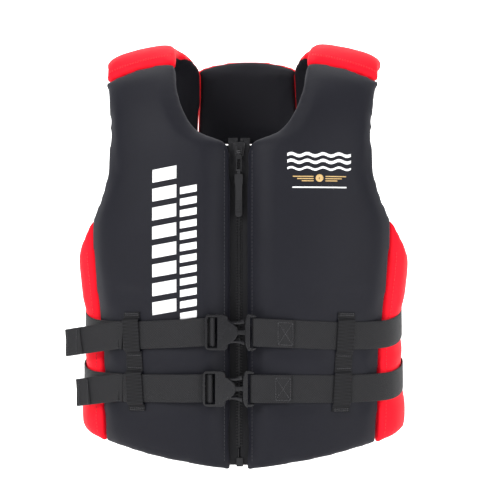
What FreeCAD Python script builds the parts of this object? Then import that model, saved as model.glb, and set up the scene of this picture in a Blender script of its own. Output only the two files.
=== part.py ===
"""Life jacket: a zip-front buoyancy vest in neoprene over foam, with two webbing belts.

The vest is a hollow torso shell. Each sewn panel is a neoprene cover over a foam block over a
lining. A chunky zip closes the front, and two belts with side-release buckles run round the
waist through keepers. The wearer faces -Y, so "right" in a name is the wearer's right, at -X.
The origin is on the torso's axis at the level of the lowest point of the hem. Units: mm.
"""
import FreeCAD
import Part
import math
import os

from FreeCAD import Rotation, Vector

# --- driving dimensions -------------------------------------------------------------------

HEIGHT = 596.0            # lowest point of the hem to the top of the shoulders
HALF_WIDTH = 233.0        # torso axis to the side of the chest
FRONT_DEPTH = 146.0       # torso axis to the front of the chest
BACK_DEPTH = 140.0        # torso axis to the back
ROUNDNESS = 2.5           # exponent of the superellipse that each level follows

NECK_HALF = 92.0          # half width of the neck opening
SHOULDER_HALF = 204.0     # half width across the shoulders
SHOULDER_DROP = 20.0      # how far the shoulder falls from the neck to its end
ZIP_TOP = 453.0           # level of the front of the neckline
UNDERARM = 302.0          # level of the bottom of the armhole
YOKE_SEAM = 462.0         # level of the seam across the back below the yoke

FRONT_WALL = 26.0         # cover, foam and lining together
BACK_WALL = 26.0
SHOULDER_WALL = 23.0
SIDE_WALL = 18.0
COVER = 2.5               # neoprene cover
LINING = 1.5
FIT = 0.4                 # clearance between a foam block and its cover
UNDER = 0.9               # clearance between the lining and what lies on it
SEAM_GAP = 0.9            # half of the gap between neighbouring panels

WEB_WIDTH = 38.0          # belt webbing
WEB = 1.8                 # webbing thickness
LAYER_GAP = 0.5           # between layers of webbing
BELT_GAP = 2.2            # between the vest and a belt
BELT_LEVELS = {"upper": 190.0, "lower": 114.0}
BUCKLE_MIDDLE = {"upper": -9.0, "lower": -12.0}    # middle of the fastened buckle, as x
BELT_RISE = 18.0          # how much higher a belt is at the back than at the front
BELT_SAG = {"upper": 6.0, "lower": 2.0}            # drop from the buckle to the keepers
TAIL_LENGTH = {"upper": 92.0, "lower": 72.0}       # loose end beyond the keeper
KEEPER_WIDTH = 25.0
KEEPER_X = 142.0          # middle of a keeper from the centre line
KEEPER_LEAN = 8.0         # how much nearer the centre its lower end is
KEEPER_END = 12.0         # sewn end of a keeper beyond the belt's edge
BACK_KEEPER_X = 100.0

# --- the torso's outer form ---------------------------------------------------------------

ARCH_LEVEL = 0.70 * HEIGHT       # above this the front and back lean in to the shoulders
ARCH_SPAN = 1.15 * (HEIGHT - ARCH_LEVEL)
CREST = ARCH_LEVEL + ARCH_SPAN   # the shoulder's top, measured along the surface
CREST_Y = 12.0


def along(table, t):
    """A smooth curve with no overshoot through a short table of (t, value)."""
    last = len(table) - 1
    if t <= table[0][0]:
        return table[0][1]
    if t >= table[last][0]:
        return table[last][1]
    k = max(i for i in range(last) if table[i][0] <= t)
    steps = [(b[1] - a[1]) / (b[0] - a[0]) for a, b in zip(table, table[1:])]

    def slope(i):
        if i in (0, last):
            return steps[min(i, last - 1)]
        if steps[i - 1] * steps[i] <= 0:
            return 0.0
        return 2 * steps[i - 1] * steps[i] / (steps[i - 1] + steps[i])

    span = table[k + 1][0] - table[k][0]
    u = (t - table[k][0]) / span
    return (table[k][1] * (1 + 2 * u) * (1 - u) ** 2 + table[k + 1][1] * u * u * (3 - 2 * u)
            + span * (slope(k) * u * (1 - u) ** 2 + slope(k + 1) * u * u * (u - 1)))


def half_width(level):
    share = along([(0, 0.955), (0.12, 0.975), (0.30, 0.957), (0.52, 1.0), (0.64, 0.975),
                   (0.76, 0.95), (1.0, 0.935)], level / HEIGHT)
    return HALF_WIDTH * share


def half_depth(level, back):
    if back:
        share = along([(0, 0.93), (0.2, 0.95), (0.33, 0.95), (0.55, 1.0), (0.7, 0.99)], level / HEIGHT)
        return BACK_DEPTH * share
    share = along([(0, 0.97), (0.2, 0.985), (0.4, 0.99), (0.55, 1.0), (0.7, 0.975)], level / HEIGHT)
    return FRONT_DEPTH * share


def crest_level(x, back):
    """Where the lean-in would end; behind the neck it ends higher, so the nape stands upright."""
    reach = min(1.0, max(0.0, (abs(x) - NECK_HALF) / (SHOULDER_HALF - NECK_HALF)))
    nape = 34.0 * max(0.0, 1 - (x / NECK_HALF) ** 2) if back else 0.0
    return HEIGHT + nape - SHOULDER_DROP * reach ** 1.6


def arch_power(x, back):
    """How square the lean-in to the shoulders is; the nape stands more upright than the rest."""
    if not back:
        return 2.2
    return 2.3 + 2.2 * max(0.0, 1 - (abs(x) / NECK_HALF) ** 2)


def torso(x, rise, back):
    """Point of the outer form at x, rise being the distance up the surface from the hem."""
    level = min(rise, ARCH_LEVEL)
    a = half_width(min(rise, HEIGHT))
    share = max(0.0, 1 - min(1.0, abs(x) / a) ** ROUNDNESS) ** (1 / ROUNDNESS)
    reach = half_depth(level, back) * share
    if rise <= ARCH_LEVEL:
        return Vector(x, reach if back else -reach, rise)
    turn = min(1.0, (rise - ARCH_LEVEL) / ARCH_SPAN) * math.pi / 2
    m = arch_power(x, back)
    size = (math.cos(turn) ** m + math.sin(turn) ** m) ** (-1 / m)
    lean = math.cos(turn) * size
    y = reach if back else -reach
    return Vector(x, CREST_Y + (y - CREST_Y) * lean,
                  ARCH_LEVEL + (crest_level(x, back) - ARCH_LEVEL) * math.sin(turn) * size)


def rise_of(x, z, back):
    """The distance up the surface at which the form reaches level z."""
    if z <= ARCH_LEVEL:
        return z
    m = arch_power(x, back)
    share = min(0.9999, (z - ARCH_LEVEL) / (crest_level(x, back) - ARCH_LEVEL))
    turn = math.atan2(share, (1 - share ** m) ** (1 / m))
    return ARCH_LEVEL + ARCH_SPAN * turn / (math.pi / 2)


def around(turn, z):
    """Point of the outer form by direction: 0 is the front, 90 degrees the side at +X."""
    s, c = math.sin(turn), -math.cos(turn)
    size = (abs(s) ** ROUNDNESS + abs(c) ** ROUNDNESS) ** (-1 / ROUNDNESS)
    return Vector(half_width(z) * s * size, half_depth(z, c > 0) * c * size, z)


def turn_of(x, z, back):
    """The direction, from the front, at which the form is x from the axis."""
    q = min(0.9999, abs(x) / half_width(z))
    turn = math.atan2(q, (1 - q ** ROUNDNESS) ** (1 / ROUNDNESS))
    return math.pi - turn if back else turn


# --- sewn panels --------------------------------------------------------------------------

def spread(u):
    return u - 0.8 * math.sin(2 * math.pi * u) / (2 * math.pi)


class Panel:
    """A four-sided piece of the wall. place(s, t) is a point of the outer form; s runs across
    and t up. round_off holds, for the sides s=0, s=1, t=0 and t=1, how far the outer and the
    inner face come in at that edge."""

    def __init__(self, place, wall, round_off, columns=13, rows=31, reach=34.0):
        self.place = place
        self.wall = wall
        self.round_off = round_off
        self.columns = columns
        self.rows = rows
        self.reach = reach
        middle = place(0.5, 0.5)
        self.sign = 1.0
        if self.normal(0.5, 0.5).dot(Vector(middle.x, middle.y, 0)) < 0:
            self.sign = -1.0

    def normal(self, s, t):
        e = 0.004
        ds = self.place(min(1, s + e), t) - self.place(max(0, s - e), t)
        dt = self.place(s, min(1, t + e)) - self.place(s, max(0, t - e))
        n = ds.cross(dt)
        return n * (getattr(self, "sign", 1.0) / n.Length)

    def size(self, s, t):
        across = (self.place(1, t) - self.place(0, t)).Length
        up = sum((self.place(s, (k + 1) / 8) - self.place(s, k / 8)).Length for k in range(8))
        return across, up

    def come_in(self, s, t, face):
        across, up = self.size(s, t)
        total = 0.0
        for k, away in enumerate((s * across, (1 - s) * across, t * up, (1 - t) * up)):
            depth = self.round_off[k][face]
            depth = depth(t) if callable(depth) else depth
            total = max(total, depth * max(0.0, 1 - away / self.reach) ** 2)
        return total

    def outer(self, s, t, depth=0.0):
        return self.place(s, t) - self.normal(s, t) * (self.come_in(s, t, 0) + depth)

    def inner(self, s, t, depth=0.0):
        """depth is measured out from the wall's inner face."""
        return self.place(s, t) - self.normal(s, t) * (self.wall - self.come_in(s, t, 1) - depth)

    def grid(self, face, depth, inset):
        """Points over the piece, closer together near its edges, where the face turns in."""
        points = []
        for j in range(self.rows):
            t = spread(j / (self.rows - 1))
            row = []
            for i in range(self.columns):
                s = spread(i / (self.columns - 1))
                across, up = self.size(s, t)
                row.append(face(inset / across + s * (1 - 2 * inset / across),
                                inset / up + t * (1 - 2 * inset / up), depth))
            points.append(row)
        return points


def surface(points):
    made = Part.BSplineSurface()
    made.interpolate(points)
    return made


def rim(made):
    """The four border edges of a surface."""
    u0, u1, v0, v1 = made.bounds()
    return [made.uIso(u0).toShape(), made.uIso(u1).toShape(),
            made.vIso(v0).toShape(), made.vIso(v1).toShape()]


def closed(faces):
    """One solid from faces that meet edge to edge."""
    shell = Part.makeCompound(faces)
    shell.sewShape(0.02)
    shells = shell.Shells
    if len(shells) != 1 or not shells[0].isClosed():
        raise ValueError("the faces do not close up")
    solid = Part.makeSolid(shells[0])
    if solid.Volume < 0:
        solid.reverse()
    return solid


def walls(first, second):
    return [Part.makeRuledSurface(a, b) for a, b in zip(rim(first), rim(second))]


def slab(outer_points, inner_points):
    a, b = surface(outer_points), surface(inner_points)
    return closed([a.toShape(), b.toShape()] + walls(a, b))


def cover_of(panel):
    """A tray: the outer skin and its turned edge, open towards the lining."""
    skin = surface(panel.grid(panel.outer, 0, SEAM_GAP))
    foot = surface(panel.grid(panel.inner, LINING + UNDER, SEAM_GAP))
    pocket = surface(panel.grid(panel.outer, COVER, SEAM_GAP + COVER))
    mouth = surface(panel.grid(panel.inner, LINING + UNDER, SEAM_GAP + COVER))
    return closed([skin.toShape(), pocket.toShape()]
                  + walls(skin, foot) + walls(foot, mouth) + walls(mouth, pocket))


def foam_of(panel, low=0.0, high=1.0):
    """The foam block, or the share of it between two heights."""
    part = panel
    if (low, high) != (0.0, 1.0):
        part = Panel(lambda s, t: panel.place(s, low + t * (high - low)), panel.wall, [(0, 0)] * 4,
                     panel.columns, panel.rows)
        part.come_in = lambda s, t, face: panel.come_in(s, low + t * (high - low), face)
        part.normal = lambda s, t: panel.normal(s, low + t * (high - low))
    inset = SEAM_GAP + COVER + FIT + 0.5
    return slab(part.grid(part.outer, COVER + 2 * FIT, inset),
                part.grid(part.inner, LINING + UNDER + 4 * FIT, inset))


def lining_of(panel):
    return slab(panel.grid(panel.inner, LINING, SEAM_GAP), panel.grid(panel.inner, 0, SEAM_GAP))


def route(keys, t):
    """A point (x, z) on an outline given as (t, x, z)."""
    return along([(k[0], k[1]) for k in keys], t), along([(k[0], k[2]) for k in keys], t)


ZIP_Y = -(FRONT_DEPTH - FRONT_WALL - 4.2)    # front face of the zip's tape
ZIP_OPENING = 11.0               # centre line to the edge of a front panel
HEM_SIDE = 32.0                  # how much higher the hem is at the side seams
ARMPIT_SEAM = UNDERARM + 46.0    # where the side seams meet the armhole

YOKE_BOW = 4.0                   # how far the front yoke seam bows up between its ends

SEAM_X = [(0.0, 0.85), (0.12, 0.858), (0.25, 0.88), (0.38, 0.912), (0.5, 0.915), (0.59, 0.925)]


def seam_x(z):
    """Where the front side seam runs, as x."""
    return half_width(z) * along(SEAM_X, z / HEIGHT)


def front_place(mirror):
    inner = [(0.0, ZIP_OPENING, 0.0), (0.3, ZIP_OPENING, 0.42 * ZIP_TOP),
             (0.6, ZIP_OPENING, 0.92 * ZIP_TOP),
             (0.655, ZIP_OPENING + 3, ZIP_TOP - 6), (0.70, 0.31 * NECK_HALF, ZIP_TOP + 2),
             (0.78, 0.60 * NECK_HALF, ZIP_TOP + 16), (0.87, 0.83 * NECK_HALF, ZIP_TOP + 48),
             (0.95, 0.955 * NECK_HALF, ZIP_TOP + 85), (1.0, NECK_HALF, HEIGHT - 29)]
    levels = [(0.0, HEM_SIDE), (0.25, 140.0), (0.44, 265.0), (0.55, ARMPIT_SEAM), (0.60, ARMPIT_SEAM + 26),
              (0.68, ARMPIT_SEAM + 68), (0.80, 474.0), (0.92, 522.0), (1.0, HEIGHT - 56)]
    armhole = [(ARMPIT_SEAM, seam_x(ARMPIT_SEAM)), (ARMPIT_SEAM + 26, 0.995 * SHOULDER_HALF),
               (ARMPIT_SEAM + 68, 0.945 * SHOULDER_HALF), (474.0, 0.93 * SHOULDER_HALF),
               (522.0, 0.945 * SHOULDER_HALF), (HEIGHT - 56, 0.97 * SHOULDER_HALF)]

    def place(s, t):
        xi, zi = route(inner, t)
        zo = along(levels, t)
        xo = seam_x(zo) if zo <= ARMPIT_SEAM else along(armhole, zo)
        x = xi + s * (xo - xi)
        ri, ro = rise_of(xi, zi, False), rise_of(xo, zo, False)
        sag = -4 * s * (1 - s) * (0.15 * HEM_SIDE * (1 - t) ** 3 - YOKE_BOW * max(0, t - 0.6) ** 2 / 0.16)
        return torso(mirror * x, ri + s * (ro - ri) + sag, False)

    return place


def zip_edge(place, face):
    """How far a front panel comes in beside the zip, where it sits on the tape."""
    def depth(t):
        beside = ZIP_Y - place(0, t).y
        fade = min(1.0, max(0.0, (t - 0.62) / 0.12))
        if face == 0:
            return (beside - 10.5) * (1 - fade) + FREE[0] * fade
        return (FRONT_WALL - beside + 0.8) * (1 - fade) + FREE[1] * fade
    return depth


FREE = (0.27 * FRONT_WALL, 0.23 * FRONT_WALL)    # how a free edge is rounded, outside and inside


def front_panel(mirror):
    place = front_place(mirror)
    return Panel(place, FRONT_WALL, [(zip_edge(place, 0), zip_edge(place, 1)), (5.0, 6.0), FREE,
                                     (4.0, 5.0)],
                 columns=15, rows=41)


def shoulder_panel(mirror):
    """From the front yoke seam over the top of the shoulder to the back yoke seam."""
    front_in = CREST - rise_of(NECK_HALF, HEIGHT - 29, False)
    front_out = CREST - rise_of(0.97 * SHOULDER_HALF, HEIGHT - 56, False)
    back_in = CREST - rise_of(0.86 * NECK_HALF, YOKE_SEAM, True)
    back_out = CREST - rise_of(0.9 * SHOULDER_HALF, YOKE_SEAM, True)
    inner = [(0.0, NECK_HALF, -front_in), (0.25, 0.985 * NECK_HALF, 0.0),
             (0.5, 0.93 * NECK_HALF, 0.36 * back_in),
             (0.62, 0.88 * NECK_HALF, 0.52 * back_in), (1.0, 0.86 * NECK_HALF, back_in)]
    outer = [(0.0, 0.97 * SHOULDER_HALF, -front_out), (0.25, SHOULDER_HALF, 0.0),
             (0.55, 0.955 * SHOULDER_HALF, 0.45 * back_out), (1.0, 0.9 * SHOULDER_HALF, back_out)]

    def place(s, t):
        xi, gi = route(inner, t)
        xo, go = route(outer, t)
        x = xi + s * (xo - xi)
        g = gi + s * (go - gi) + 4 * s * (1 - s) * YOKE_BOW * max(0, 0.25 - t) / 0.25
        return torso(mirror * x, CREST - abs(g), g > 0)

    return Panel(place, SHOULDER_WALL, [FREE, FREE, (4.0, 4.0), (3.0, 3.0)], columns=13, rows=33,
                 reach=26.0)


def yoke_panel():
    """The middle of the back above the yoke seam, up to the nape."""
    nape = HEIGHT - 2.0

    def place(s, t):
        side = 2 * s - 1
        x = side * NECK_HALF * (0.86 + 0.02 * t)
        low = rise_of(x, YOKE_SEAM, True)
        g = CREST - rise_of(0.86 * NECK_HALF, YOKE_SEAM, True)
        edge = CREST - 0.52 * g
        top = rise_of(0, nape, True)
        high = top + (edge - top) * side * side
        return torso(x, low + t * (high - low), True)

    return Panel(place, SHOULDER_WALL, [(3.0, 3.0), (3.0, 3.0), (3.0, 3.0), FREE], columns=13, rows=13,
                 reach=26.0)


def back_panel():
    def place(s, t):
        side = 2 * s - 1
        zo = along([(0.0, HEM_SIDE), (0.3, 140.0), (0.55, 265.0), (0.70, ARMPIT_SEAM), (1.0, YOKE_SEAM)], t)
        armhole = [(ARMPIT_SEAM, seam_x(ARMPIT_SEAM)), (ARMPIT_SEAM + 38, 0.965 * SHOULDER_HALF),
                   (YOKE_SEAM, 0.9 * SHOULDER_HALF)]
        xo = seam_x(zo) if zo <= ARMPIT_SEAM else along(armhole, zo)
        middle = along([(0.0, 8.0), (0.55, 265.0), (0.70, ARMPIT_SEAM), (1.0, YOKE_SEAM)], t)
        z = middle + (zo - middle) * side * side
        return torso(side * xo, rise_of(side * xo, z, True), True)

    return Panel(place, BACK_WALL, [(5.0, 6.0), (5.0, 6.0), FREE, (3.0, 4.0)], columns=21, rows=25)


def side_panel(mirror):
    def place(s, t):
        middle = 1 - (2 * s - 1) ** 2
        low = HEM_SIDE + 8.0 * middle
        high = ARMPIT_SEAM - (ARMPIT_SEAM - UNDERARM) * middle
        z = low + t * (high - low)
        start, end = turn_of(seam_x(z), z, False), turn_of(seam_x(z), z, True)
        return around(mirror * (start + s * (end - start)), z)

    return Panel(place, SIDE_WALL, [(3.5, 2.0), (3.5, 2.0), (5.0, 4.0), (5.0, 4.0)], columns=15, rows=21,
                 reach=22.0)


FLEX_GAP = 0.02           # the flex groove between the two back foams, as a share of the panel's height


def vest_nodes():
    nodes = {}
    for name, mirror in (("right", -1), ("left", 1)):
        front, shoulder, side = front_panel(mirror), shoulder_panel(mirror), side_panel(mirror)
        nodes["front_cover_" + name] = cover_of(front)
        nodes["front_foam_" + name] = foam_of(front)
        nodes["front_lining_" + name] = lining_of(front)
        nodes["shoulder_cover_" + name] = cover_of(shoulder)
        nodes["shoulder_foam_" + name] = foam_of(shoulder)
        nodes["side_cover_" + name] = cover_of(side)
        nodes["side_foam_" + name] = foam_of(side)
        nodes["side_lining_" + name] = lining_of(side)
        nodes["shoulder_lining_" + name] = lining_of(shoulder)
    yoke, back = yoke_panel(), back_panel()
    nodes["back_yoke_cover"] = cover_of(yoke)
    nodes["back_foam_upper"] = foam_of(yoke)
    nodes["back_cover"] = cover_of(back)
    nodes["back_foam_middle"] = foam_of(back, 0.46 + FLEX_GAP / 2, 1.0)
    nodes["back_foam_lower"] = foam_of(back, 0.0, 0.46 - FLEX_GAP / 2)
    nodes["back_yoke_lining"] = lining_of(yoke)
    nodes["back_lining"] = lining_of(back)
    return nodes


# --- the zip ------------------------------------------------------------------------------

TAPE = 0.9                # thickness of the zip's tape
TAPE_IN = 1.9             # centre line to the tape's edge
TAPE_OUT = 15.0
TAPE_FOOT = 6.0           # level of the tape's lower end
TOOTH_PITCH = 4.0
TOOTH_HEIGHT = 1.6
TOOTH_FRONT = 1.8         # how far a tooth stands out from the tape, to the front
SLIDER_HEIGHT = 19.0
SLIDER_WIDTH = 16.0
SLIDER_PLATE = 1.7
PIN_RADIUS = 1.1          # pins that the tab and the puller hang on
PIN_FIT = 0.3
TAB_LENGTH = 25.0         # between its two pins
TAB_WIDTH = 8.0
TAB_THICK = 2.2
PULLER_LENGTH = 64.0
PULLER_WIDTH = 11.0
PULLER_THICK = 4.5

SLIDER_TOP = ZIP_TOP - 4.0
SLIDER_FOOT = SLIDER_TOP - SLIDER_HEIGHT
CHANNEL_FRONT = ZIP_Y - TOOTH_FRONT - 0.4            # inside faces of the slider's plates
CHANNEL_BACK = ZIP_Y + TAPE + 1.5 + 0.4
PIN_Y = CHANNEL_FRONT - SLIDER_PLATE - PIN_RADIUS - PIN_FIT - 1.9
PIN_Z = SLIDER_FOOT + 5.0


def block(x0, x1, y0, y1, z0, z1):
    return Part.makeBox(x1 - x0, y1 - y0, z1 - z0, Vector(x0, y0, z0))


def both(shape):
    """A shape together with its mirror image in the centre plane."""
    return [shape, shape.mirror(Vector(0, 0, 0), Vector(1, 0, 0))]


def bar(radius, length, x, y, z, axis):
    """A round bar about a centre."""
    start = Vector(x, y, z) - axis * (length / 2)
    return Part.makeCylinder(radius, length, start, axis)


def flat(points, y0, y1):
    """A plate from an outline of (x, z)."""
    corners = [Vector(x, y0, z) for x, z in points]
    return Part.Face(Part.makePolygon(corners + corners[:1])).extrude(Vector(0, y1 - y0, 0))


def joined(shapes):
    return shapes[0].multiFuse(shapes[1:]).removeSplitter()


def zip_chain(side):
    """One row of moulded teeth; each grips the tape's edge and reaches over the centre line."""
    head = block(-TAPE_IN + 0.1, 1.2, ZIP_Y - TOOTH_FRONT, ZIP_Y + TAPE + 1.5, 0, TOOTH_HEIGHT)
    front = block(-4.2, -TAPE_IN + 0.2, ZIP_Y - TOOTH_FRONT, ZIP_Y - 0.05, 0, TOOTH_HEIGHT)
    behind = block(-4.2, -TAPE_IN + 0.2, ZIP_Y + TAPE + 0.05, ZIP_Y + TAPE + 1.5, 0, TOOTH_HEIGHT)
    tooth = joined([head, front, behind])
    start = 30.0
    if side > 0:
        tooth = tooth.mirror(Vector(0, 0, 0), Vector(1, 0, 0))
        start += TOOTH_PITCH / 2
    count = int((SLIDER_FOOT + 6.0 - start) / TOOTH_PITCH)
    return Part.makeCompound([tooth.translated(Vector(0, 0,
                                                      start + k * TOOTH_PITCH)) for k in range(count)])


def zip_slider():
    """Two shield-shaped plates joined by a wedge, with flanges that leave a slot for the tape."""
    half, foot, top = SLIDER_WIDTH / 2, SLIDER_FOOT, SLIDER_TOP
    shield = [(-half + 2.2, foot), (-half + 1.6, foot + 7), (-half, foot + 12), (-half, top - 2),
              (-half + 3, top)]
    shield = shield + [(-x, z) for x, z in reversed(shield)]
    front = flat(shield, CHANNEL_FRONT - SLIDER_PLATE, CHANNEL_FRONT)
    behind = flat(shield, CHANNEL_BACK, CHANNEL_BACK + SLIDER_PLATE)
    wedge = flat([(-0.6, top - 9), (0.6, top - 9), (1.5, top - 4), (1.5, top), (-1.5, top),
                  (-1.5, top - 4)],
                 CHANNEL_FRONT - 0.1, CHANNEL_BACK + 0.1)
    flanges = []
    for y0, y1 in ((CHANNEL_FRONT - 0.1, ZIP_Y - 0.35), (ZIP_Y + TAPE + 0.35, CHANNEL_BACK + 0.1)):
        flanges += both(flat([(-half + 2.2, foot), (-half + 1.6, foot + 7), (-half, foot + 12),
                              (-half, top - 2),
                              (-half + 1.6, top - 2), (-half + 1.6, foot + 12), (-half + 3.0, foot + 7),
                              (-half + 3.4, foot)], y0, y1))
    cheeks = both(block(2.9, 4.1, PIN_Y - 1.9, CHANNEL_FRONT - SLIDER_PLATE + 0.1, PIN_Z - 2.4,
                        PIN_Z + 8.0))
    pin = bar(PIN_RADIUS, 7.0, 0, PIN_Y, PIN_Z, Vector(1, 0, 0))
    return joined([front, behind, wedge, pin] + flanges + cheeks)


def zip_tab():
    """The metal link from the slider's pin down two legs to the round bar that the puller hangs on."""
    low = PIN_Z - TAB_LENGTH
    eye = bar(PIN_RADIUS + PIN_FIT + 1.3, 5.0, 0, PIN_Y, PIN_Z, Vector(1, 0, 0))
    neck = block(-2.5, 2.5, PIN_Y - TAB_THICK / 2, PIN_Y + TAB_THICK / 2, PIN_Z - 6, PIN_Z)
    plate = block(-TAB_WIDTH / 2, TAB_WIDTH / 2, PIN_Y - TAB_THICK / 2, PIN_Y + TAB_THICK / 2, low - 1.2,
                  PIN_Z - 5)
    window = block(-TAB_WIDTH / 2 + 1.6, TAB_WIDTH / 2 - 1.6, PIN_Y - 4, PIN_Y + 4, low - 2, PIN_Z - 9.5)
    hole = bar(PIN_RADIUS + PIN_FIT, 12.0, 0, PIN_Y, PIN_Z, Vector(1, 0, 0))
    rod = bar(PIN_RADIUS, TAB_WIDTH - 1.0, 0, PIN_Y, low, Vector(1, 0, 0))
    return joined([eye, neck, plate]).cut(joined([window, hole])).fuse(rod).removeSplitter()


def zip_puller():
    """The moulded grip, with an eye round the tab's bar and a ribbed blade."""
    top = PIN_Z - TAB_LENGTH
    half, thick = PULLER_WIDTH / 2, PULLER_THICK / 2
    eye = bar(PIN_RADIUS + PIN_FIT + 0.75, 4.0, 0, PIN_Y, top, Vector(1, 0, 0))
    neck = block(-2.0, 2.0, PIN_Y - 1.6, PIN_Y + 1.6, top - 5.5, top)
    outline = [(-half + 1, top - 5), (-half, top - 7), (-half, top - 17), (-half + 0.9, top - 20),
               (-half + 0.9, top - PULLER_LENGTH + 3), (-half + 3, top - PULLER_LENGTH)]
    blade = flat(outline + [(-x, z) for x, z in reversed(outline)], PIN_Y - thick, PIN_Y + thick)
    grooves = [block(-half - 1, half + 1, PIN_Y - thick - 1, PIN_Y - thick + 0.7, z, z + 1.4)
               for z in (top - 58, top - 54, top - 50, top - 46, top - 42)]
    hole = bar(PIN_RADIUS + PIN_FIT, 12.0, 0, PIN_Y, top, Vector(1, 0, 0))
    return joined([eye, neck, blade]).cut(Part.makeCompound(grooves + [hole]))


def zip_nodes():
    nodes = {}
    for name, side in (("right", -1), ("left", 1)):
        x0, x1 = sorted((side * TAPE_IN, side * TAPE_OUT))
        nodes["zip_tape_" + name] = block(x0, x1, ZIP_Y, ZIP_Y + TAPE, TAPE_FOOT, SLIDER_TOP + 6.0)
        nodes["zip_teeth_" + name] = zip_chain(side)
    front, behind = ZIP_Y - TOOTH_FRONT, ZIP_Y + TAPE + 1.5
    stop = block(TAPE_IN + 0.4, 5.2, front, ZIP_Y - 0.05, SLIDER_TOP + 0.6, SLIDER_TOP + 4.2)
    nodes["zip_top_stops"] = Part.makeCompound(both(stop))
    nodes["zip_pin"] = block(-1.6, -0.2, ZIP_Y - 1.2, ZIP_Y + TAPE + 0.9, 9.0, 28.0)
    box = block(-3.4, 5.6, front - 0.9, behind + 0.9, TAPE_FOOT - 2.0, 16.0)
    slot = block(-6.0, 0.2, ZIP_Y - 1.7, ZIP_Y + TAPE + 1.4, 8.4, 17.0)
    tape_slot = block(TAPE_IN - 0.2, 7.0, ZIP_Y - 0.1, ZIP_Y + TAPE + 0.1, 0.0, 17.0)
    nodes["zip_box"] = box.cut(slot).cut(tape_slot).cut(
        block(-6.0, -TAPE_IN + 0.3, ZIP_Y - 0.1, ZIP_Y + TAPE + 0.1, 0.0, 17.0))
    nodes["zip_slider"] = zip_slider()
    nodes["zip_tab"] = zip_tab()
    nodes["zip_puller"] = zip_puller()
    guard = CHANNEL_BACK + SLIDER_PLATE + 1.6
    nodes["zip_guard"] = block(-26.0, 26.0, guard, guard + 2.0, TAPE_FOOT, ZIP_TOP - 8.0)
    return nodes


# --- belts and keepers --------------------------------------------------------------------

LAYER_1 = BELT_GAP                              # inner faces of the layers, measured from the vest
LAYER_2 = LAYER_1 + WEB + LAYER_GAP
KEEPER_OVER_ONE = LAYER_2 + 0.5
KEEPER_OVER_TWO = LAYER_2 + WEB + LAYER_GAP + 0.4
BUCKLE_BACK = -(FRONT_DEPTH + 1.5)              # plane of the buckles' backs
RISE = [(0, 0.0), (55, 0.0), (90, 0.62), (140, 0.95), (180, 1.0)]
SAG = [(0, 0.0), (45, 1.0), (62, 0.8), (90, 0.0)]


def outside(turn, z, distance):
    """A point at a distance outside the form, square to it in plan."""
    e = 0.002
    here = around(turn, z)
    n = (around(turn + e, z) - around(turn - e, z)).cross(Vector(0, 0, 1))
    if n.dot(here) < 0:
        n = n * -1
    n.z = 0
    return here + n * (distance / n.Length)


def turn_at(x, z, back=False):
    return math.copysign(turn_of(x, z, back), x)


def ribbon(path, thickness, level, width):
    """A strip of webbing on edge that follows a plan-view path of (x, y)."""
    sides = ([], [])
    for i, (x, y) in enumerate(path):
        ahead, behind = path[min(i + 1, len(path) - 1)], path[max(i - 1, 0)]
        dx, dy = ahead[0] - behind[0], ahead[1] - behind[1]
        size = thickness / 2 / math.hypot(dx, dy)
        sides[0].append(Vector(x - dy * size, y + dx * size, level - width / 2))
        sides[1].append(Vector(x + dy * size, y - dx * size, level - width / 2))
    around_it = sides[0] + list(reversed(sides[1]))
    wire = Part.makePolygon(around_it + around_it[:1])
    return Part.Face(wire).extrude(Vector(0, 0, width))


def arc(cx, cy, radius, start, end, step=12.0):
    """Points on an arc, angles in degrees from +X."""
    count = max(2, int(abs(end - start) / step))
    angles = [math.radians(start + (end - start) * k / count) for k in range(count + 1)]
    return [(cx + radius * math.cos(a), cy + radius * math.sin(a)) for a in angles]


def run(level, x_from, x_to, depth_from, layer, spacing=7.0):
    """A layer's middle line from beside the buckle, where it is depth_from behind the buckle's
    back plane, out along the vest to x_to."""
    sign = math.copysign(1, x_to)
    count = int(abs(x_to - x_from) / spacing)
    points = []
    for k in range(count + 1):
        x = x_from + (x_to - x_from) * k / count
        turn = turn_at(sign * max(0.5, sign * x), level)
        settled = outside(turn, level, layer + WEB / 2)
        share = min(1.0, max(0.0, sign * (x - x_from) / 62.0))
        blend = share * share * (3 - 2 * share)
        free = BUCKLE_BACK - depth_from
        points.append((x + (settled.x - x) * blend, free + (settled.y - free) * blend))
    return points


LADDER_BAR = (10.1, 6.5, 1.5)      # along the buckle, out from its back, radius
END_BAR = (67.4, 5.0, 1.6)
BUCKLE_LENGTH = 69.8
KEEPER_PASS = KEEPER_X + KEEPER_WIDTH / 2 + KEEPER_LEAN / 2 + 3.0
TURN_ROUND = WEB / 2 + 0.35


def buckle_start(belt):
    return BUCKLE_MIDDLE[belt] - BUCKLE_LENGTH / 2


def sloped(strap, belt, x_from, side):
    """The strap dropped steadily from the buckle to its keeper."""
    slope = BELT_SAG[belt] / (KEEPER_X - side * x_from)
    lean = FreeCAD.Matrix()
    lean.A31 = -side * slope
    lean.A34 = side * slope * x_from
    return strap.transformGeometry(lean)


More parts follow.
